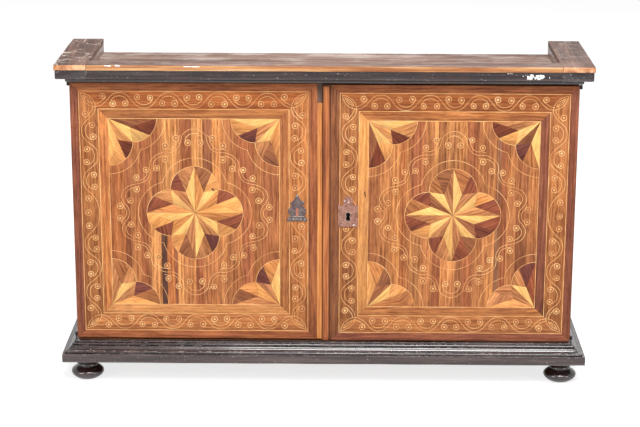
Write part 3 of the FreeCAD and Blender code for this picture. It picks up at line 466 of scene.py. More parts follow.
def softenEdges(bm, width, segments=2, angle=30):
    bmesh.ops.bevel(bm, geom=sharpEdges(bm, angle), offset=width, offset_type="OFFSET", affect="EDGES",
                    segments=segments, profile=0.5, material=-1, clamp_overlap=True)


def newPiece(name, bm, body, material, stands=(), smooth=35):
    mesh = bpy.data.meshes.new(name)
    bm.to_mesh(mesh)
    bm.free()
    mesh.polygons.foreach_set("use_smooth", [True] * len(mesh.polygons))
    mesh.set_sharp_from_angle(angle=math.radians(smooth))
    mesh.materials.append(material)
    piece = bpy.data.objects.new(name, mesh)
    bpy.context.scene.collection.objects.link(piece)
    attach(piece, body)
    if stands:
        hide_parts(*stands)
    return piece


def dressNode(node, material):
    nodes[node].data.materials.clear()
    nodes[node].data.materials.append(material)


# Boards of the case: softened, slightly uneven copies of the nodes
caseBoards = {  # wood, edge in mm, step of the slices in mm, unevenness in mm
    "base_board": ("carcass_wood", 0.6, 90, 0.1),
    "base_back": ("carcass_wood", 0.8, 90, 0.2),
    "foot_blocks": ("carcass_wood", 0.8, 60, 0.1),
    "side_left": ("side_wood", 0.8, 60, 0.2),
    "side_right": ("side_wood", 0.8, 60, 0.2),
    "top_rail": ("carcass_wood", 0.6, 90, 0.1),
    "centre_partition": ("upright_wood", 0.8, 60, 0.1),
    "shelf_left": ("carcass_wood", 0.8, 60, 0.15),
    "shelf_right": ("carcass_wood", 0.8, 60, 0.15),
    "shelf_cleats": ("carcass_wood", 0.8, 60, 0.1),
    "back_boards": ("back_wood", 0.6, 60, 0.15),
}
backJoints = {"places": (-166.967, 166.367), "reach": 0.4}  # drawn shut here


def makeCaseBoards():
    dressNode("bottom_board", boards["carcass_wood"])
    for seed, (node, (wood, edge, step, sway)) in enumerate(caseBoards.items()):
        bm = mergedCopy(node)
        if node == "back_boards":
            for vert in bm.verts:
                for joint in backJoints["places"]:
                    if abs(vert.co.x - joint * mm) < backJoints["reach"] * mm:
                        vert.co.x = joint * mm
        softenEdges(bm, edge * mm)
        for axis in range(3):
            sliceAlong(bm, axis, step * mm)
        handMade(bm, sway * mm, 9, seed)
        newPiece(node + "_planed", bm, "case", boards[wood], (node,))


# Black mouldings: the base, the fillets under the roof board and the cornice
mouldings = {
    # node: axis that it runs along, softened edge in mm, unevenness in mm
    "base_front": (0, 0.35, 0.45),
    "base_left": (1, 0.35, 0.4),
    "base_right": (1, 0.35, 0.4),
    "top_fillets": (0, 0.3, 0.25),
    "cornice_front": (0, 0.5, 0.35),
    "cornice_left": (1, 0.5, 0.35),
    "cornice_right": (1, 0.5, 0.35),
}


def makeMouldings():
    for seed, (node, (axis, edge, sway)) in enumerate(mouldings.items()):
        bm = mergedCopy(node)
        softenEdges(bm, edge * mm, angle=26)
        sliceAlong(bm, axis, 12 * mm)
        handMade(bm, sway * mm, 14, 20 + seed)
        newPiece(node + "_run", bm, "case", ebony, (node,), smooth=32)


# Feet, turned a little out of round
footLook = {"steps": 72, "sway": 0.35, "swayScale": 24, "flat": 8, "radius": 33.5, "height": 46.3}
footProfile = [  # radius and height as shares, from the sole up
    (0.56, 0.0), (0.66, 0.022), (0.78, 0.075), (0.885, 0.14), (0.96, 0.21), (1.0, 0.29), (0.975, 0.36),
    (0.91, 0.42), (0.82, 0.47), (0.72, 0.51), (0.64, 0.54), (0.60, 0.553), (0.615, 0.57), (0.64, 0.60),
    (0.635, 0.64), (0.61, 0.68), (0.575, 0.72), (0.545, 0.76), (0.53, 0.85), (0.53, 0.94), (0.55, 1.0),
]


def makeFeet():
    for seed, node in enumerate(("foot_front_left", "foot_front_right", "foot_back_left", "foot_back_right")):
        low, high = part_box(node)
        middle = (low + high) / 2
        bm = bmesh.new()
        points = [(0, 0)] + footProfile + [(0, 1)]
        verts = [bm.verts.new((out * footLook["radius"] * mm, 0, up * footLook["height"] * mm))
                 for out, up in points]
        edges = [bm.edges.new(pair) for pair in zip(verts, verts[1:])]
        bmesh.ops.spin(bm, geom=verts + edges, axis=(0, 0, 1), cent=(0, 0, 0), angle=math.tau,
                       steps=footLook["steps"], use_merge=True)
        bmesh.ops.remove_doubles(bm, verts=bm.verts, dist=0.01 * mm)
        bmesh.ops.recalc_face_normals(bm, faces=bm.faces)
        bmesh.ops.translate(bm, verts=bm.verts, vec=(middle.x, middle.y, 0))
        for vert in bm.verts:
            lift = min(1, vert.co.z / (footLook["flat"] * mm))
            place = vert.co * footLook["swayScale"] + Vector((seed, 0, 0))
            vert.co += noise.noise_vector(place) * footLook["sway"] * mm * lift
        newPiece(node + "_turned", bm, "case", ebony, (node,), smooth=50)


# Marquetry woods by letter: display colour, and how figured the wood is from 0 to 1
woods = {
    "y": ((247, 196, 120), 0.12),  # light yellow
    "l": ((238, 169, 100), 0.35),  # light orange
    "o": ((216, 146, 84), 0.55),  # orange
    "c": ((186, 110, 60), 0.6),  # reddish orange
    "p": ((212, 148, 90), 0.55),  # pinkish
    "b": ((200, 136, 86), 0.8),  # brown, striped
    "r": ((162, 90, 58), 0.75),  # reddish
    "v": ((144, 86, 62), 0.75),  # purple brown
    "m": ((152, 96, 62), 0.75),  # dull brown
    "d": ((140, 76, 52), 0.85),  # dark reddish
    "D": ((114, 62, 52), 0.75),  # dark purple
    "k": ((92, 60, 48), 0.6),  # nearly black
    "g": ((132, 96, 78), 0.7),  # grey brown
    "s": ((180, 116, 68), 0.85),  # middle brown of the bands
    "e": ((120, 60, 38), 0.9),  # dark, reddish
    "i": ((203, 131, 76), 0.8),  # golden brown of the bands
    "n": ((166, 100, 61), 0.85),  # reddish brown of the bands
}

# What each door shows: letters of the 16 sectors clockwise from the top, kites first and then the
# fields of the lobes, of the middle star and of the four corner fans; the woods of the frames;
# the strips of the ground above and below the star, as (right edge in mm, wood); and their shade
doorLooks = {
    "left": {
        "shade": 0.96,
        "kites": "oyoloybybyoyoyby",
        "fields": "mldldlDbmldldpdb",
        "fanKites": "byblmyploybyblby",
        "fanFields": "sbDseyelmbDlmoDo",
        "border": {"left": "v", "top": "n", "right": "n", "bottom": "n"},
        "scroll_band": {"left": "s", "top": "c", "right": "i", "bottom": "s"},
        "inner_band": {"left": "i", "top": "s", "right": "s", "bottom": "p"},
        "above": [(-396, "c"), (-386, "r"), (-365, "s"), (-351, "r"), (-340, "s"), (-330, "r"), (-320, "s"),
                  (-285, "l"), (-262, "r"), (-240, "l"), (-222, "v"), (-205, "o"), (-174, "s"), (-163, "r"),
                  (-139, "r"), (-124, "s"), (-88, "n")],
        "below": [(-396, "s"), (-386, "s"), (-365, "o"), (-351, "s"), (-346, "s"), (-325, "l"), (-313, "k"),
                  (-298, "c"), (-292, "D"), (-280, "l"), (-256, "o"), (-240, "r"), (-208, "s"), (-193, "o"),
                  (-163, "s"), (-139, "n"), (-124, "v"), (-88, "n")],
    },
    "right": {
        "shade": 0.89,
        "kites": "ybybymybybybymyb",
        "fields": "sdodddmdbdldsdsm",
        "fanKites": "lmysypymymyblbyr",
        "fanFields": "ompspelesDlebbbD",
        "border": {"left": "m", "top": "n", "right": "v", "bottom": "v"},
        "scroll_band": {"left": "s", "top": "c", "right": "s", "bottom": "s"},
        "inner_band": {"left": "l", "top": "i", "right": "v", "bottom": "s"},
        "above": [(131, "s"), (152, "o"), (163, "c"), (172, "o"), (199, "r"), (218, "s"), (227, "l"),
                  (241, "s"), (267, "l"), (284, "o"), (304, "r"), (325, "s"), (343, "s"), (351, "g"),
                  (363, "r"), (384, "s"), (405, "n"), (440, "s")],
        "below": [(131, "s"), (152, "s"), (163, "c"), (172, "s"), (193, "p"), (218, "s"), (233, "r"),
                  (262, "o"), (277, "s"), (296, "r"), (323, "s"), (341, "o"), (351, "g"), (363, "s"),
                  (384, "c"), (405, "o"), (440, "s")],
    },
}
groundBlend = {"tone": (196, 128, 80), "share": 0.4, "figure": 0.95}
glueLine = {"width": 0.28, "depth": 0.22, "shade": 0.34}
marquetry = {
    "star": 48, "halfWidth": 225.5, "halfHeight": 247.5, "bandWidth": 188, "bandHeight": 211.5,
    "panelWidth": 169, "panelHeight": 192.5,
}
doorSides = ("left", "right")
corners = [(right, top) for right in (-1, 1) for top in (-1, 1)]
fieldMiddle = {}
for side in doorSides:
    groundLow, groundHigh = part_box(side + "_ground")
    fieldMiddle[side] = (groundLow + groundHigh) / 2


def sectorOf(x, z):  # sector of a place round the star's middle, clockwise from the top
    turn = math.atan2(x, z) % math.tau
    return int(turn / (math.tau / 16)) % 16, math.hypot(x, z)


def starKiteReach(sector):  # a half kite's centre lies nearer to the middle than this, in half sides
    return 1.12 if sector % 4 in (0, 3) else 1.0


def starWood(side, centre):  # letter and grain direction of a piece of a star or a fan, and if it is a kite
    middle = fieldMiddle[side]
    star = marquetry["star"] * mm
    x = centre.x - middle.x
    z = centre.z - middle.z
    fan = max(abs(x), abs(z)) > 2.05 * star or math.hypot(x, z) > 0.1
    if fan:
        x -= math.copysign(marquetry["panelWidth"] * mm, x)
        z -= math.copysign(marquetry["panelHeight"] * mm, z)
    sector, reach = sectorOf(x, z)
    direction = math.pi / 2 - (sector + 0.5) * math.tau / 16
    kite = reach < starKiteReach(sector) * star
    kinds = ("fanFields", "fanKites") if fan else ("fields", "kites")
    return doorLooks[side][kinds[kite]][sector], direction, kite


def frameWood(side, node, centre):
    middle = fieldMiddle[side]
    x = (centre.x - middle.x) / marquetry["halfWidth"]
    z = (centre.z - middle.z) / marquetry["halfHeight"]
    if abs(x) > abs(z):
        return doorLooks[side][node]["left" if x < 0 else "right"], math.pi / 2
    return doorLooks[side][node]["bottom" if z < 0 else "top"], 0.0


def groundWood(side, centre):
    rows = doorLooks[side]["above" if centre.z > fieldMiddle[side].z - 2 * mm else "below"]
    for until, letter in rows:
        if centre.x < until * mm:
            return letter, math.pi / 2
    return rows[-1][1], math.pi / 2


def frontFaces(bm, front):  # the faces in the front plane of a veneer
    return [face for face in bm.faces
            if face.normal.y < -0.9 and face.calc_center_median().y < front + 0.5 * mm]


def chosenWood(side, part, centre, draw):  # colour and figure of one piece, and how its grain runs
    star = part.startswith("star")
    if star:
        letter, direction, kite = starWood(side, centre)
        direction += draw.uniform(-0.12, 0.12) if kite else draw.choice((-0.5, -0.2, 0.25, 0.6, 1.2))
    elif part == "ground":
        letter, direction = groundWood(side, centre)
    else:
        letter, direction = frameWood(side, part, centre)
    shade = draw.uniform(0.9, 1.1) * (1 if star else doorLooks[side]["shade"])
    tone, figure = woods[letter]
    wood = Vector(paint(*tone)[:3])
    if part == "ground" and letter != "k":
        wood = wood.lerp(Vector(paint(*groundBlend["tone"])[:3]), groundBlend["share"])
        figure = groundBlend["figure"]
    return [*(wood * shade), figure], direction


def tesserae(side, part, draw):  # the veneer pieces of one node, each with its own wood and grain
    node = f"{side}_{part}"
    bm = mergedCopy(node)
    low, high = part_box(node)
    kept = set(frontFaces(bm, low.y))
    bmesh.ops.delete(bm, geom=[face for face in bm.faces if face not in kept], context="FACES")
    bmesh.ops.split_edges(bm, edges=bm.edges)
    tone = bm.loops.layers.float_color.new("tone")
    grain = bm.loops.layers.uv.new("grain")
    choices = {}
    for face in bm.faces:
        colour, direction = chosenWood(side, part, face.calc_center_median(), draw)
        shift = Vector((draw.uniform(0, 9), draw.uniform(0, 9)))
        choices[face] = (colour, direction + draw.uniform(-0.02, 0.02), shift)
    for face, (colour, direction, shift) in choices.items():
        along = Vector((math.cos(direction), math.sin(direction)))
        across = Vector((-along.y, along.x))
        for loop in face.loops:
            loop[tone] = colour
            place = Vector((loop.vert.co.x, loop.vert.co.z))
            loop[grain].uv = (place.dot(along) + shift.x, place.dot(across) + shift.y)
    solid = bmesh.ops.extrude_face_region(bm, geom=list(choices), use_keep_orig=True)["geom"]
    rears = [item for item in solid if isinstance(item, bmesh.types.BMVert)]
    bmesh.ops.translate(bm, verts=rears, vec=(0, high.y - low.y, 0))
    bmesh.ops.recalc_face_normals(bm, faces=bm.faces)
    fronts = frontFaces(bm, low.y)
    rims = bmesh.ops.inset_individual(bm, faces=fronts, thickness=glueLine["width"] * mm,
                                      depth=0, use_even_offset=True)["faces"]
    inner = {vert for face in fronts for vert in face.verts}
    for face in rims:
        for loop in face.loops:
            if loop.vert not in inner:
                loop[tone] = [value * glueLine["shade"] for value in loop[tone][:3]] + [0.0]
    for vert in {vert for face in rims for vert in face.verts} - inner:
        vert.co.y += glueLine["depth"] * mm
    return bm


veneerSlots = {
    "border": "border_veneer", "scroll_band": "scroll_veneer", "inner_band": "inner_band_veneer",
    "ground": "ground_veneer", "star_light": "light_inlay", "star_brown": "brown_inlay",
    "star_dark": "dark_inlay",
}


def makeMarquetry():
    draw = random.Random(41)
    for side in doorSides:
        for part, slotName in veneerSlots.items():
            node = f"{side}_{part}"
            newPiece(node + "_veneer", tesserae(side, part, draw), side + "_door", veneer, (node,))


# Light lines let into the veneer
stringLook = {
    "width": 1.15, "vineWidth": 0.9, "ringWidth": 1.1, "proud": 0.1, "sunk": 0.3, "outer": 17,
    "vineLift": 0.01, "ringLift": 0.03, "dotThick": 0.3, "eyeThick": 0.2, "astray": 0.9,
    "sizes": (0.94, 1.08),
}


def ribbons(name, lines, width):  # lines in the door's plane as (points, closed), in mm from its middle
    profile = bpy.data.curves.new(name + "_profile", "CURVE")
    profile.dimensions = "2D"
    outline = profile.splines.new("POLY")
    outline.points.add(3)
    for point, (u, v) in zip(outline.points, ((-1, -1), (1, -1), (1, 1), (-1, 1))):
        height = stringLook["proud"] if v > 0 else -stringLook["sunk"]
        point.co = (u * width / 2 * mm, height * mm, 0, 1)
    outline.use_cyclic_u = True
    profileObject = bpy.data.objects.new(name + "_profile", profile)
    curve = bpy.data.curves.new(name + "_lines", "CURVE")
    curve.dimensions = "2D"
    curve.fill_mode = "NONE"
    curve.bevel_mode = "OBJECT"
    curve.bevel_object = profileObject
    curve.use_fill_caps = True
    for points, closed in lines:
        spline = curve.splines.new("POLY")
        spline.points.add(len(points) - 1)
        for point, (x, z) in zip(spline.points, points):
            point.co = (x * mm, z * mm, 0, 1)
        spline.use_cyclic_u = closed
    holder = bpy.data.objects.new(name + "_lines", curve)
    bpy.context.scene.collection.objects.link(profileObject)
    bpy.context.scene.collection.objects.link(holder)
    mesh = bpy.data.meshes.new_from_object(holder.evaluated_get(bpy.context.evaluated_depsgraph_get()))
    bpy.data.objects.remove(holder)
    bpy.data.objects.remove(profileObject)
    bm = bmesh.new()
    bm.from_mesh(mesh)
    bpy.data.meshes.remove(mesh)
    return bm


def ontoDoor(bm, side, face):  # from the plane of the drawing to the door's face
    middle = fieldMiddle[side]
    bmesh.ops.transform(bm, verts=bm.verts, matrix=Matrix((
        (1, 0, 0, middle.x), (0, 0, -1, face), (0, 1, 0, middle.z), (0, 0, 0, 1))))
    bmesh.ops.recalc_face_normals(bm, faces=bm.faces)


def rectangle(width, height):
    return [(-width, -height), (width, -height), (width, height), (-width, height)]


def arc(centre, radius, start, end, count=24):  # angles in degrees, anticlockwise from the right
    turns = [math.radians(start + (end - start) * index / count) for index in range(count + 1)]
    return [(centre[0] + radius * math.cos(turn), centre[1] + radius * math.sin(turn)) for turn in turns]


def lobeArc(offset, turns):  # one lobe of the quatrefoil, this far outside it, after quarter turns
    star = marquetry["star"]
    radius = star + offset
    meet = star / 2 + math.sqrt(radius ** 2 / 2 - star ** 2 / 4)
    reach = math.degrees(math.atan2(meet, meet - star))
    points = arc((star, 0), radius, -reach, reach)
    for _ in range(turns):
        points = [(-z, x) for x, z in points]
    return points


def quatrefoil(offset):
    points = []
    for turns in range(4):
        points += lobeArc(offset, turns)[:-1]
    return points


def fanLine(offset, right, top):  # the part of a corner's quatrefoil that opens into the panel
    sign = (-right, -top)
    kept = [point for point in quatrefoil(offset) if point[0] > -0.01 and point[1] > -0.01]
    kept = sorted(kept, key=lambda point: math.atan2(point[1], point[0]))
    corner = (right * marquetry["panelWidth"], top * marquetry["panelHeight"])
    return [(corner[0] + x * sign[0], corner[1] + z * sign[1]) for x, z in kept]


# Vine of the scroll band: half waves along each side as (place, half length, side that it bulges to)
vine = {
    "rise": 15.4, "round": 0.07, "steps": 16,
    "across": 229, "down": 206,
    "top": [(place * 48.5, 24.25, 1 if place % 2 else -1) for place in range(-3, 4)],
    "flank": [(-167, 25.3, 1), (-116.3, 25.4, -1), (-65.2, 25.7, 1), (0, 39.5, -1), (65.2, 25.7, 1),
              (116.3, 25.4, -1), (167, 25.3, 1)],
    # the last half wave and its ring's own arc, as (distance from the corner, outwards)
    "corner": [(3.5, 15.5), (6.5, 5.5), (11.5, -3), (21, -10.5), (32, -13), (43, -10.5), (50, -5.5)],
    "cornerArc": [(30, -8.5), (38, -6.5), (46, -1), (51.5, 3), (54, 8)],
    "single": (46.5, 8),
    "ringOut": 6.3, "ringGap": 12.6, "ringRadius": 5.6, "dotRadius": 2.2, "eyeRadius": 4.4,
    "arcTop": 8.6, "arcReach": 17.6,
    "middleRings": (-28, 0, 28),
}
bandSides = {  # side: half its length, and how (along, outwards) lies in the door's plane
    "top": (marquetry["halfWidth"], lambda u, v: (u, vine["across"] + v)),
    "right": (marquetry["halfHeight"], lambda u, v: (vine["down"] + v, -u)),
    "bottom": (marquetry["halfWidth"], lambda u, v: (-u, -vine["across"] - v)),
    "left": (marquetry["halfHeight"], lambda u, v: (-vine["down"] - v, u)),
}


def smooth(points, steps=5, closed=False):  # a smooth line through the points
    count = len(points)
    pick = (lambda index: index % count) if closed else (lambda index: min(max(index, 0), count - 1))
    line = []
    for index in range(count if closed else count - 1):
        before, here, there, after = (Vector(points[pick(index + shift)]) for shift in (-1, 0, 1, 2))
        for step in range(steps):
            t = step / steps
            place = 0.5 * (2 * here + (there - before) * t
                           + (2 * before - 5 * here + 4 * there - after) * t ** 2
                           + (3 * here - before - 3 * there + after) * t ** 3)
            line.append((place.x, place.y))
    return line if closed else line + [tuple(points[-1])]


def waveLine(waves, length):  # one side's whole line, from corner to corner
    middle = []
    for place, half, side in waves:
        for index in range(vine["steps"]):
            share = index / vine["steps"] * 2 - 1
            turn = share * math.pi / 2
            high = (math.cos(turn) - vine["round"] * math.cos(3 * turn)) / (1 - vine["round"])
            middle.append((place + share * half, side * vine["rise"] * high))
    start = smooth([(-length + along, out) for along, out in vine["corner"]] + [middle[0]])[:-1]
    finish = [(-along, out) for along, out in reversed(start)]
    return start + middle + finish


def bandLines():
    lines = []
    rings = []
    for side, (length, lay) in bandSides.items():
        flank = side in ("left", "right")
        waves = vine["flank" if flank else "top"]
        parts = [waveLine(waves, length)]
        spots = []
        for place, half, bulge in waves:
            if half > 30:
                spots += [(place + shift, -bulge * vine["ringOut"]) for shift in vine["middleRings"]]
                continue
            out = -bulge * vine["ringOut"]
            spots += [(place - vine["ringGap"], out), (place + vine["ringGap"], out)]
            height = vine["arcTop"] + vine["ringOut"]
            turns = [math.pi * index / 16 for index in range(17)]
            parts.append([(place + vine["arcReach"] * math.cos(turn), out + bulge * height * math.sin(turn))
                          for turn in turns])
        for end in (-1, 1):
            along, out = vine["single"]
            spots.append((end * (length - along), out))
            parts.append(smooth([(end * (length - away), high) for away, high in vine["cornerArc"]], 4))
        rings += [lay(u, v) for u, v in spots]
        lines += [[lay(u, v) for u, v in part] for part in parts]
    return lines, rings


# Vine round the star: places of its line in one quarter, and its pairs of rings with the side that
# the line bulges to there
loop = {
    "line": [(0, 172), (12, 169), (23, 159), (26, 147), (33, 132), (46, 124), (60, 124), (74, 119), (86, 108),
             (89, 96), (88, 83), (95, 68), (108, 61), (126, 57), (140, 48), (146, 34), (142, 22), (133, 10),
             (131, 0)],
    "pairs": [((0, 144), (0, 1)), ((46, 146), (-0.6, -0.8)), ((66, 101), (0.7, 0.71)),
              ((106, 80.5), (-0.66, -0.75)), ((121.5, 36.5), (0.87, 0.49)), ((149, 0), (-1, 0))],
    "arcShare": 0.68, "reach": 36, "depth": -2,
}


def loopLines():
    quarter = loop["line"]
    line = quarter + [(x, -z) for x, z in reversed(quarter[:-1])]
    line += [(-x, z) for x, z in reversed(line[1:-1])]
    line = smooth(line, closed=True)
    arcs = []
    rings = []
    for (x, z), (u, v) in loop["pairs"]:
        mirrors = {(across, up) for across in ((-1, 1) if x else (1,)) for up in ((-1, 1) if z else (1,))}
        for across, up in sorted(mirrors):
            middle = Vector((x * across, z * up))
            bulge = Vector((u * across, v * up)).normalized()
            along = Vector((-bulge.y, bulge.x))
            for end in (-1, 1):
                ring = middle + along * end * vine["ringGap"]
                rings.append((ring.x, ring.y))
            near = []
            for point in line:
                away = Vector(point) - middle
                if away.length < loop["reach"] and away.dot(bulge) > loop["depth"]:
                    near.append((away.dot(along), away * loop["arcShare"] + middle))
            near.sort(key=lambda item: item[0])
            arcs.append([tuple(point) for _, point in near])
    return line, arcs, rings


leaf = {"start": (9, 9), "end": (27, 25), "bow": 3.4, "vein": ((12.5, 12), (24, 22.5))}


def leafLines():  # an almond with its vein in each corner of the scroll band
    almonds = []
    veins = []
    for right, top in corners:
        def spot(point):
            return Vector((right * (marquetry["halfWidth"] - point[0]),
                           top * (marquetry["halfHeight"] - point[1])))

        start = spot(leaf["start"])
        end = spot(leaf["end"])
        side = Vector((start.y - end.y, end.x - start.x)).normalized() * leaf["bow"]
        one, two = ([start.lerp(end, index / 12) + side * sign * math.sin(math.pi * index / 12)
                     for index in range(13)] for sign in (1, -1))
        almonds.append([tuple(point) for point in one + two[-2:0:-1]])
        veins.append([tuple(spot(point)) for point in leaf["vein"]])
    return almonds, veins


def underPlate(side, x, z):  # whether an iron plate hides this place of the band
    low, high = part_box({"left": "left_escutcheon", "right": "lock_plate"}[side])
    middle = fieldMiddle[side]
    reach = vine["ringRadius"] * mm
    return (low.x - reach < middle.x + x * mm < high.x + reach
            and low.z - reach / 2 < middle.z + z * mm < high.z)


def discs(bm, spots, radius, thick):  # flat plugs at the rings, in the plane of the drawing
    for x, z, size in spots:
        bmesh.ops.create_cone(bm, cap_ends=True, segments=12, radius1=radius * mm * size,
                              radius2=radius * mm * size * 0.94, depth=thick * mm,
                              matrix=Matrix.Translation((x * mm, z * mm, 0)))


def letIn(name, bm, side, face, finishName="string_inlay"):
    ontoDoor(bm, side, face)
    newPiece(f"{side}_{name}", bm, side + "_door", inlays[finishName], smooth=30)


def makeInlays():
    draw = random.Random(7)
    astray = stringLook["astray"]
    outer = stringLook["outer"]
    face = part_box("left_ground")[0].y
    halves = (("halfWidth", "halfHeight"), ("bandWidth", "bandHeight"), ("panelWidth", "panelHeight"))
    for side in doorSides:
        frames = [(rectangle(marquetry[width], marquetry[height]), True) for width, height in halves]
        letIn("stringing", ribbons(side + "_stringing", frames, stringLook["width"]), side, face)

        waves, rings = bandLines()
        around, arcs, moreRings = loopLines()
        almonds, veins = leafLines()
        closed = [quatrefoil(0), quatrefoil(outer), around] + almonds
        opened = waves + arcs + veins
        for right, top in corners:
            opened += [fanLine(0, right, top), fanLine(outer, right, top)]
        lines = [(points, True) for points in closed] + [(points, False) for points in opened]
        bm = ribbons(side + "_vine", lines, stringLook["vineWidth"])
        letIn("vine", bm, side, face - stringLook["vineLift"] * mm)

        spots = []
        for x, z in rings + moreRings:
            x += draw.uniform(-astray, astray)
            z += draw.uniform(-astray, astray)
            size = draw.uniform(*stringLook["sizes"])
            if not underPlate(side, x, z):
                spots.append((x, z, size))
        circles = [(arc((x, z), vine["ringRadius"] * size, 0, 360, 16)[:-1], True) for x, z, size in spots]
        bm = ribbons(side + "_rings", circles, stringLook["ringWidth"])
        discs(bm, spots, vine["dotRadius"], stringLook["dotThick"])
        letIn("rings", bm, side, face - stringLook["ringLift"] * mm)
        bm = bmesh.new()
        discs(bm, spots, vine["eyeRadius"], stringLook["eyeThick"])
        letIn("ring_eyes", bm, side, face, "eye_inlay")


# Raised work and nails on the two plates, and small damage: places as (x, z), sizes as half widths, in mm
plateWork = {
    "chased": [  # place, size, turn in degrees
        ((-60.6, 380), (8.6, 1.5), -45), ((-45.4, 380), (8.6, 1.5), 45), ((-65.2, 360), (4.6, 6.6), 0),
        ((-40.8, 360), (4.6, 6.6), 0),
    ],
    "rubbed": [
        ((-53, 391.4), (2.6, 3.0), 0), ((-53, 348.6), (19, 1.0), 0), ((-69, 343.6), (3.2, 2.6), 0),
        ((-61, 343.2), (3.0, 2.0), 0), ((-53, 343.6), (3.4, 2.4), 0), ((-45, 343.2), (3.0, 2.0), 0),
        ((-37, 343.6), (3.2, 2.6), 0), ((-41, 379), (2.2, 3.2), 30),
    ],
    "plug": [((-53, 363), (3.4, 3.5), 0), ((-53.4, 355.5), (2.5, 5), 0), ((-53, 351), (3.2, 2.6), 0)],
    "studs": [((41.6, 380.6), (2.0, 2.0), 0), ((49.2, 378.6), (2.2, 2.0), 0), ((59.9, 331.6), (2.2, 1.9), 0)],
    "keyhole": ((48.5, 353.5, 4.2, -48, 228), (48.5, 344.5, 3.9, 136, 404)),  # x, z, radius and arc
    # round the keyhole: a bright rim, then painted shade as a dark ring just outside it and a dark sleeve
    # inside it; offsets, widths and depth in mm
    "rim": 0.95, "rimWidth": 0.4, "rimShade": 0.3, "rimShadeWidth": 0.8, "shadeSleeve": 0.25, "depth": 20,
    "rise": 0.7, "flush": 0.2,
}
damage = {
    "left_door": [((-221.4, 404.4), (2.1, 1.9), 0), ((-219.2, 401.6), (1.1, 2.6), 25)],
    "right_door": [((81.6, 397.6), (1.3, 4.4), 0), ((82.6, 391.8), (0.9, 3.2), 0)],
    "knot": (471.8, -53.7, 4.2, 4.4, 1.3),
    "chips": [((-424, 657.6), (3.6, 1.1)), ((-417.5, 657.3), (4.4, 1.4)), ((-403.5, 658.0), (2.8, 1.6)),
              ((-398.4, 657.4), (3.2, 1.3)), ((-265, 656.6), (9, 1.0)), ((-250, 656.5), (10, 1.2))],
    "smear": {"from": 395, "to": 427, "low": 635, "high": 642, "dabs": 22, "size": (1.4, 3.0)},
    "specks": [((356.8, 645.6), (1.2, 0.9)), ((360.8, 646.2), (1.0, 0.8)), ((364.2, 645.4), (1.3, 0.8)),
               ((437, 638), (0.9, 1.4)), ((386, 640.5), (1.1, 0.9))],
}


def dab(bm, place, size, turn=0):  # a flattened drop: place, half sizes and turn about Y
    matrix = (Matrix.Translation(Vector(place) * mm) @ Matrix.Rotation(math.radians(turn), 4, "Y")
              @ Matrix.Diagonal((size[0] * mm, size[1] * mm, size[2] * mm, 1)))
    bmesh.ops.create_icosphere(bm, subdivisions=2, radius=1, matrix=matrix)


def dabs(spots, face, rise):
    bm = bmesh.new()
    for (x, z), (wide, high), turn in spots:
        dab(bm, (x, face / mm, z), (wide, rise, high), turn)
    return bm


def keyholeLine(offset):  # the keyhole's outline, this far outside it, from the middle of the field
    middle = fieldMiddle["right"] / mm
    line = []
    for x, z, radius, start, end in plateWork["keyhole"]:
        line += arc((x - middle.x, z - middle.z), radius + offset, start, end, 14)
    return line


def makePlateWork():
    rise = plateWork["rise"]
    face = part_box("left_escutcheon")[0].y
    for key, material in (("chased", irons["patchy_iron"]), ("rubbed", irons["rubbed_iron"])):
        newPiece("left_escutcheon_" + key, dabs(plateWork[key], face, rise), "left_door", material,
                 smooth=60)
    newPiece("left_escutcheon_plug", dabs(plateWork["plug"], face, plateWork["flush"]), "left_door",
             inlays["keyhole_plug"], smooth=60)
    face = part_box("lock_plate")[0].y
    newPiece("lock_plate_studs", dabs(plateWork["studs"], face, 2 * rise), "right_door", irons["bright_iron"],
             smooth=60)
    bm = ribbons("lock_plate_rim", [(keyholeLine(plateWork["rim"]), True)], plateWork["rimWidth"])
    ontoDoor(bm, "right", face)
    newPiece("lock_plate_rim", bm, "right_door", irons["bright_iron"], smooth=30)

    # Painted shade: a dark ring round the keyhole and a dark sleeve down its walls
    bm = ribbons("keyhole_rim_shade", [(keyholeLine(plateWork["rimShade"]), True)], plateWork["rimShadeWidth"])
    verts = [bm.verts.new((x * mm, z * mm, 0)) for x, z in keyholeLine(-plateWork["shadeSleeve"])]
    wall = bmesh.ops.extrude_edge_only(bm, edges=[bm.edges.new((verts[index - 1], vert))
                                                  for index, vert in enumerate(verts)])["geom"]
    faces = [item for item in wall if isinstance(item, bmesh.types.BMFace)]
    bmesh.ops.translate(bm, verts=[item for item in wall if isinstance(item, bmesh.types.BMVert)],
                        vec=(0, 0, -plateWork["depth"] * mm))
    bmesh.ops.recalc_face_normals(bm, faces=faces)
    bmesh.ops.solidify(bm, geom=faces, thickness=plateWork["shadeSleeve"] * 0.8 * mm)
    ontoDoor(bm, "right", face)
    newPiece("keyhole_painted_shade", bm, "right_door", inlays["painted_hole_shade"], smooth=30)


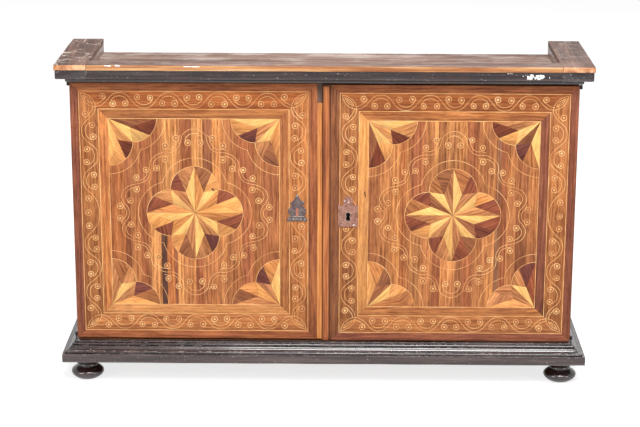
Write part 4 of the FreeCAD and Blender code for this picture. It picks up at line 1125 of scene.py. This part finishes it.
def makeDamage():
    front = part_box("left_ground")[0].y
    # worm holes and the knot hollow are dark dabs of painted shade, not cut holes
    for body in ("left_door", "right_door"):
        newPiece(body + "_worm_holes", dabs(damage[body], front, plateWork["flush"]), body,
                 inlays["painted_hole_shade"], smooth=60)
    x, y, wide, deep, high = damage["knot"]
    bm = bmesh.new()
    dab(bm, (x, y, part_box("cap_right")[1].z / mm - 0.7), (wide, deep, high))
    newPiece("cap_right_knot", bm, "case", inlays["painted_hole_shade"], smooth=60)
    bm = bmesh.new()
    for (x, z), (wide, high) in damage["chips"]:
        dab(bm, (x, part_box("cap_front")[0].y / mm, z), (wide, 0.5, high))
    newPiece("cap_front_filler", bm, "case", inlays["white_filler"], smooth=60)
    draw = random.Random(5)
    smear = damage["smear"]
    bm = bmesh.new()
    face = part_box("cornice_front")[0].y / mm
    for _ in range(smear["dabs"]):
        x = draw.uniform(smear["from"], smear["to"])
        z = draw.uniform(smear["low"], smear["high"])
        wide, high = draw.uniform(*smear["size"]), draw.uniform(*smear["size"])
        dab(bm, (x, face, z), (wide, 0.45, high))
    for (x, z), (wide, high) in damage["specks"]:
        dab(bm, (x, face, z), (wide, 0.4, high))
    newPiece("cornice_paint_smear", bm, "case", inlays["white_filler"], smooth=60)


# Edges of the doors, and the door boards behind the veneer
beadTip = 5  # mm of its lower end that are rounded over


def makeDoorWood():
    for side in doorSides:
        bm = mergedCopy(side + "_core")
        softenEdges(bm, 0.5 * mm, angle=60)
        newPiece(side + "_core_planed", bm, side + "_door", boards["door_wood"],
                 (side + "_core",))
    bm = mergedCopy("left_lipping")
    softenEdges(bm, 0.5 * mm)
    sliceAlong(bm, 2, 18 * mm)
    handMade(bm, 0.25 * mm, 22, 3)
    newPiece("left_lipping_strip", bm, "left_door", boards["lipping_wood"], ("left_lipping",))
    bm = mergedCopy("meeting_bead")
    sliceAlong(bm, 2, 14 * mm)
    low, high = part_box("meeting_bead")
    tip = beadTip * mm
    for share in (0.12, 0.3, 0.55, 0.8):
        bmesh.ops.bisect_plane(bm, geom=bm.verts[:] + bm.edges[:] + bm.faces[:],
                               plane_co=(0, 0, low.z + tip * share), plane_no=(0, 0, 1))
    middle = (low + high) / 2
    for vert in bm.verts:
        away = 1 - (vert.co.z - low.z) / tip
        if away > 0:
            narrow = math.sqrt(max(0.12, 1 - away ** 2))
            vert.co.x = middle.x + (vert.co.x - middle.x) * narrow
            vert.co.y = high.y + (vert.co.y - high.y) * narrow
    handMade(bm, 0.25 * mm, 20, 5)
    newPiece("meeting_bead_strip", bm, "right_door", boards["bead_wood"], ("meeting_bead",))


# Cap and roof board
capBoards = {  # wood, edge in mm, unevenness in mm
    "cap_front": ("cap_wood", 0.9, 0.5),
    "cap_left": ("cap_side_wood", 1.2, 0.5),
    "cap_right": ("cap_side_wood", 1.2, 0.5),
}


roofRear = ((60, 3), (11, 2))  # ragged rear edge: scale of each unevenness and its depth in mm


def makeTop():
    for seed, (node, (finishName, edge, sway)) in enumerate(capBoards.items()):
        bm = mergedCopy(node)
        softenEdges(bm, edge * mm, segments=3)
        for axis, step in ((0, 14), (1, 14), (2, 5)):
            sliceAlong(bm, axis, step * mm)
        handMade(bm, sway * mm, 16, 60 + seed)
        newPiece(node + "_board", bm, "case", boards[finishName], (node,))
    bm = mergedCopy("roof_board")
    for axis, step in ((0, 10), (1, 24)):
        sliceAlong(bm, axis, step * mm)
    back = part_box("roof_board")[1].y
    for vert in bm.verts:
        if vert.co.y > back - mm:
            for scale, depth in roofRear:
                vert.co.y -= abs(noise.noise(vert.co * scale)) * depth * mm
    newPiece("roof_board_rough", bm, "case", boards["roof_wood"], ("roof_board",))


ironNodes = {
    "black_iron": ("left_hinge_pins", "right_hinge_pins", "left_hinge_eyes", "right_hinge_eyes"),
    "browned_plate": ("lock_plate",),
    "patchy_iron": ("left_escutcheon",),
    "wrought_iron": ("left_keeper", "lock_case", "bolt_plates", "lock_bolt", "upper_bolt", "lower_bolt"),
}

makeCaseBoards()
makeMouldings()
makeFeet()
print("case is planed and moulded")
makeMarquetry()
print("veneers are cut")
makeInlays()
print("lines and rings are let in")
makeDoorWood()
makeTop()
makePlateWork()
makeDamage()
print("plates are chased and damage is in")
for name, dressed in ironNodes.items():
    for node in dressed:
        dressNode(node, irons[name])
print("iron is dressed")
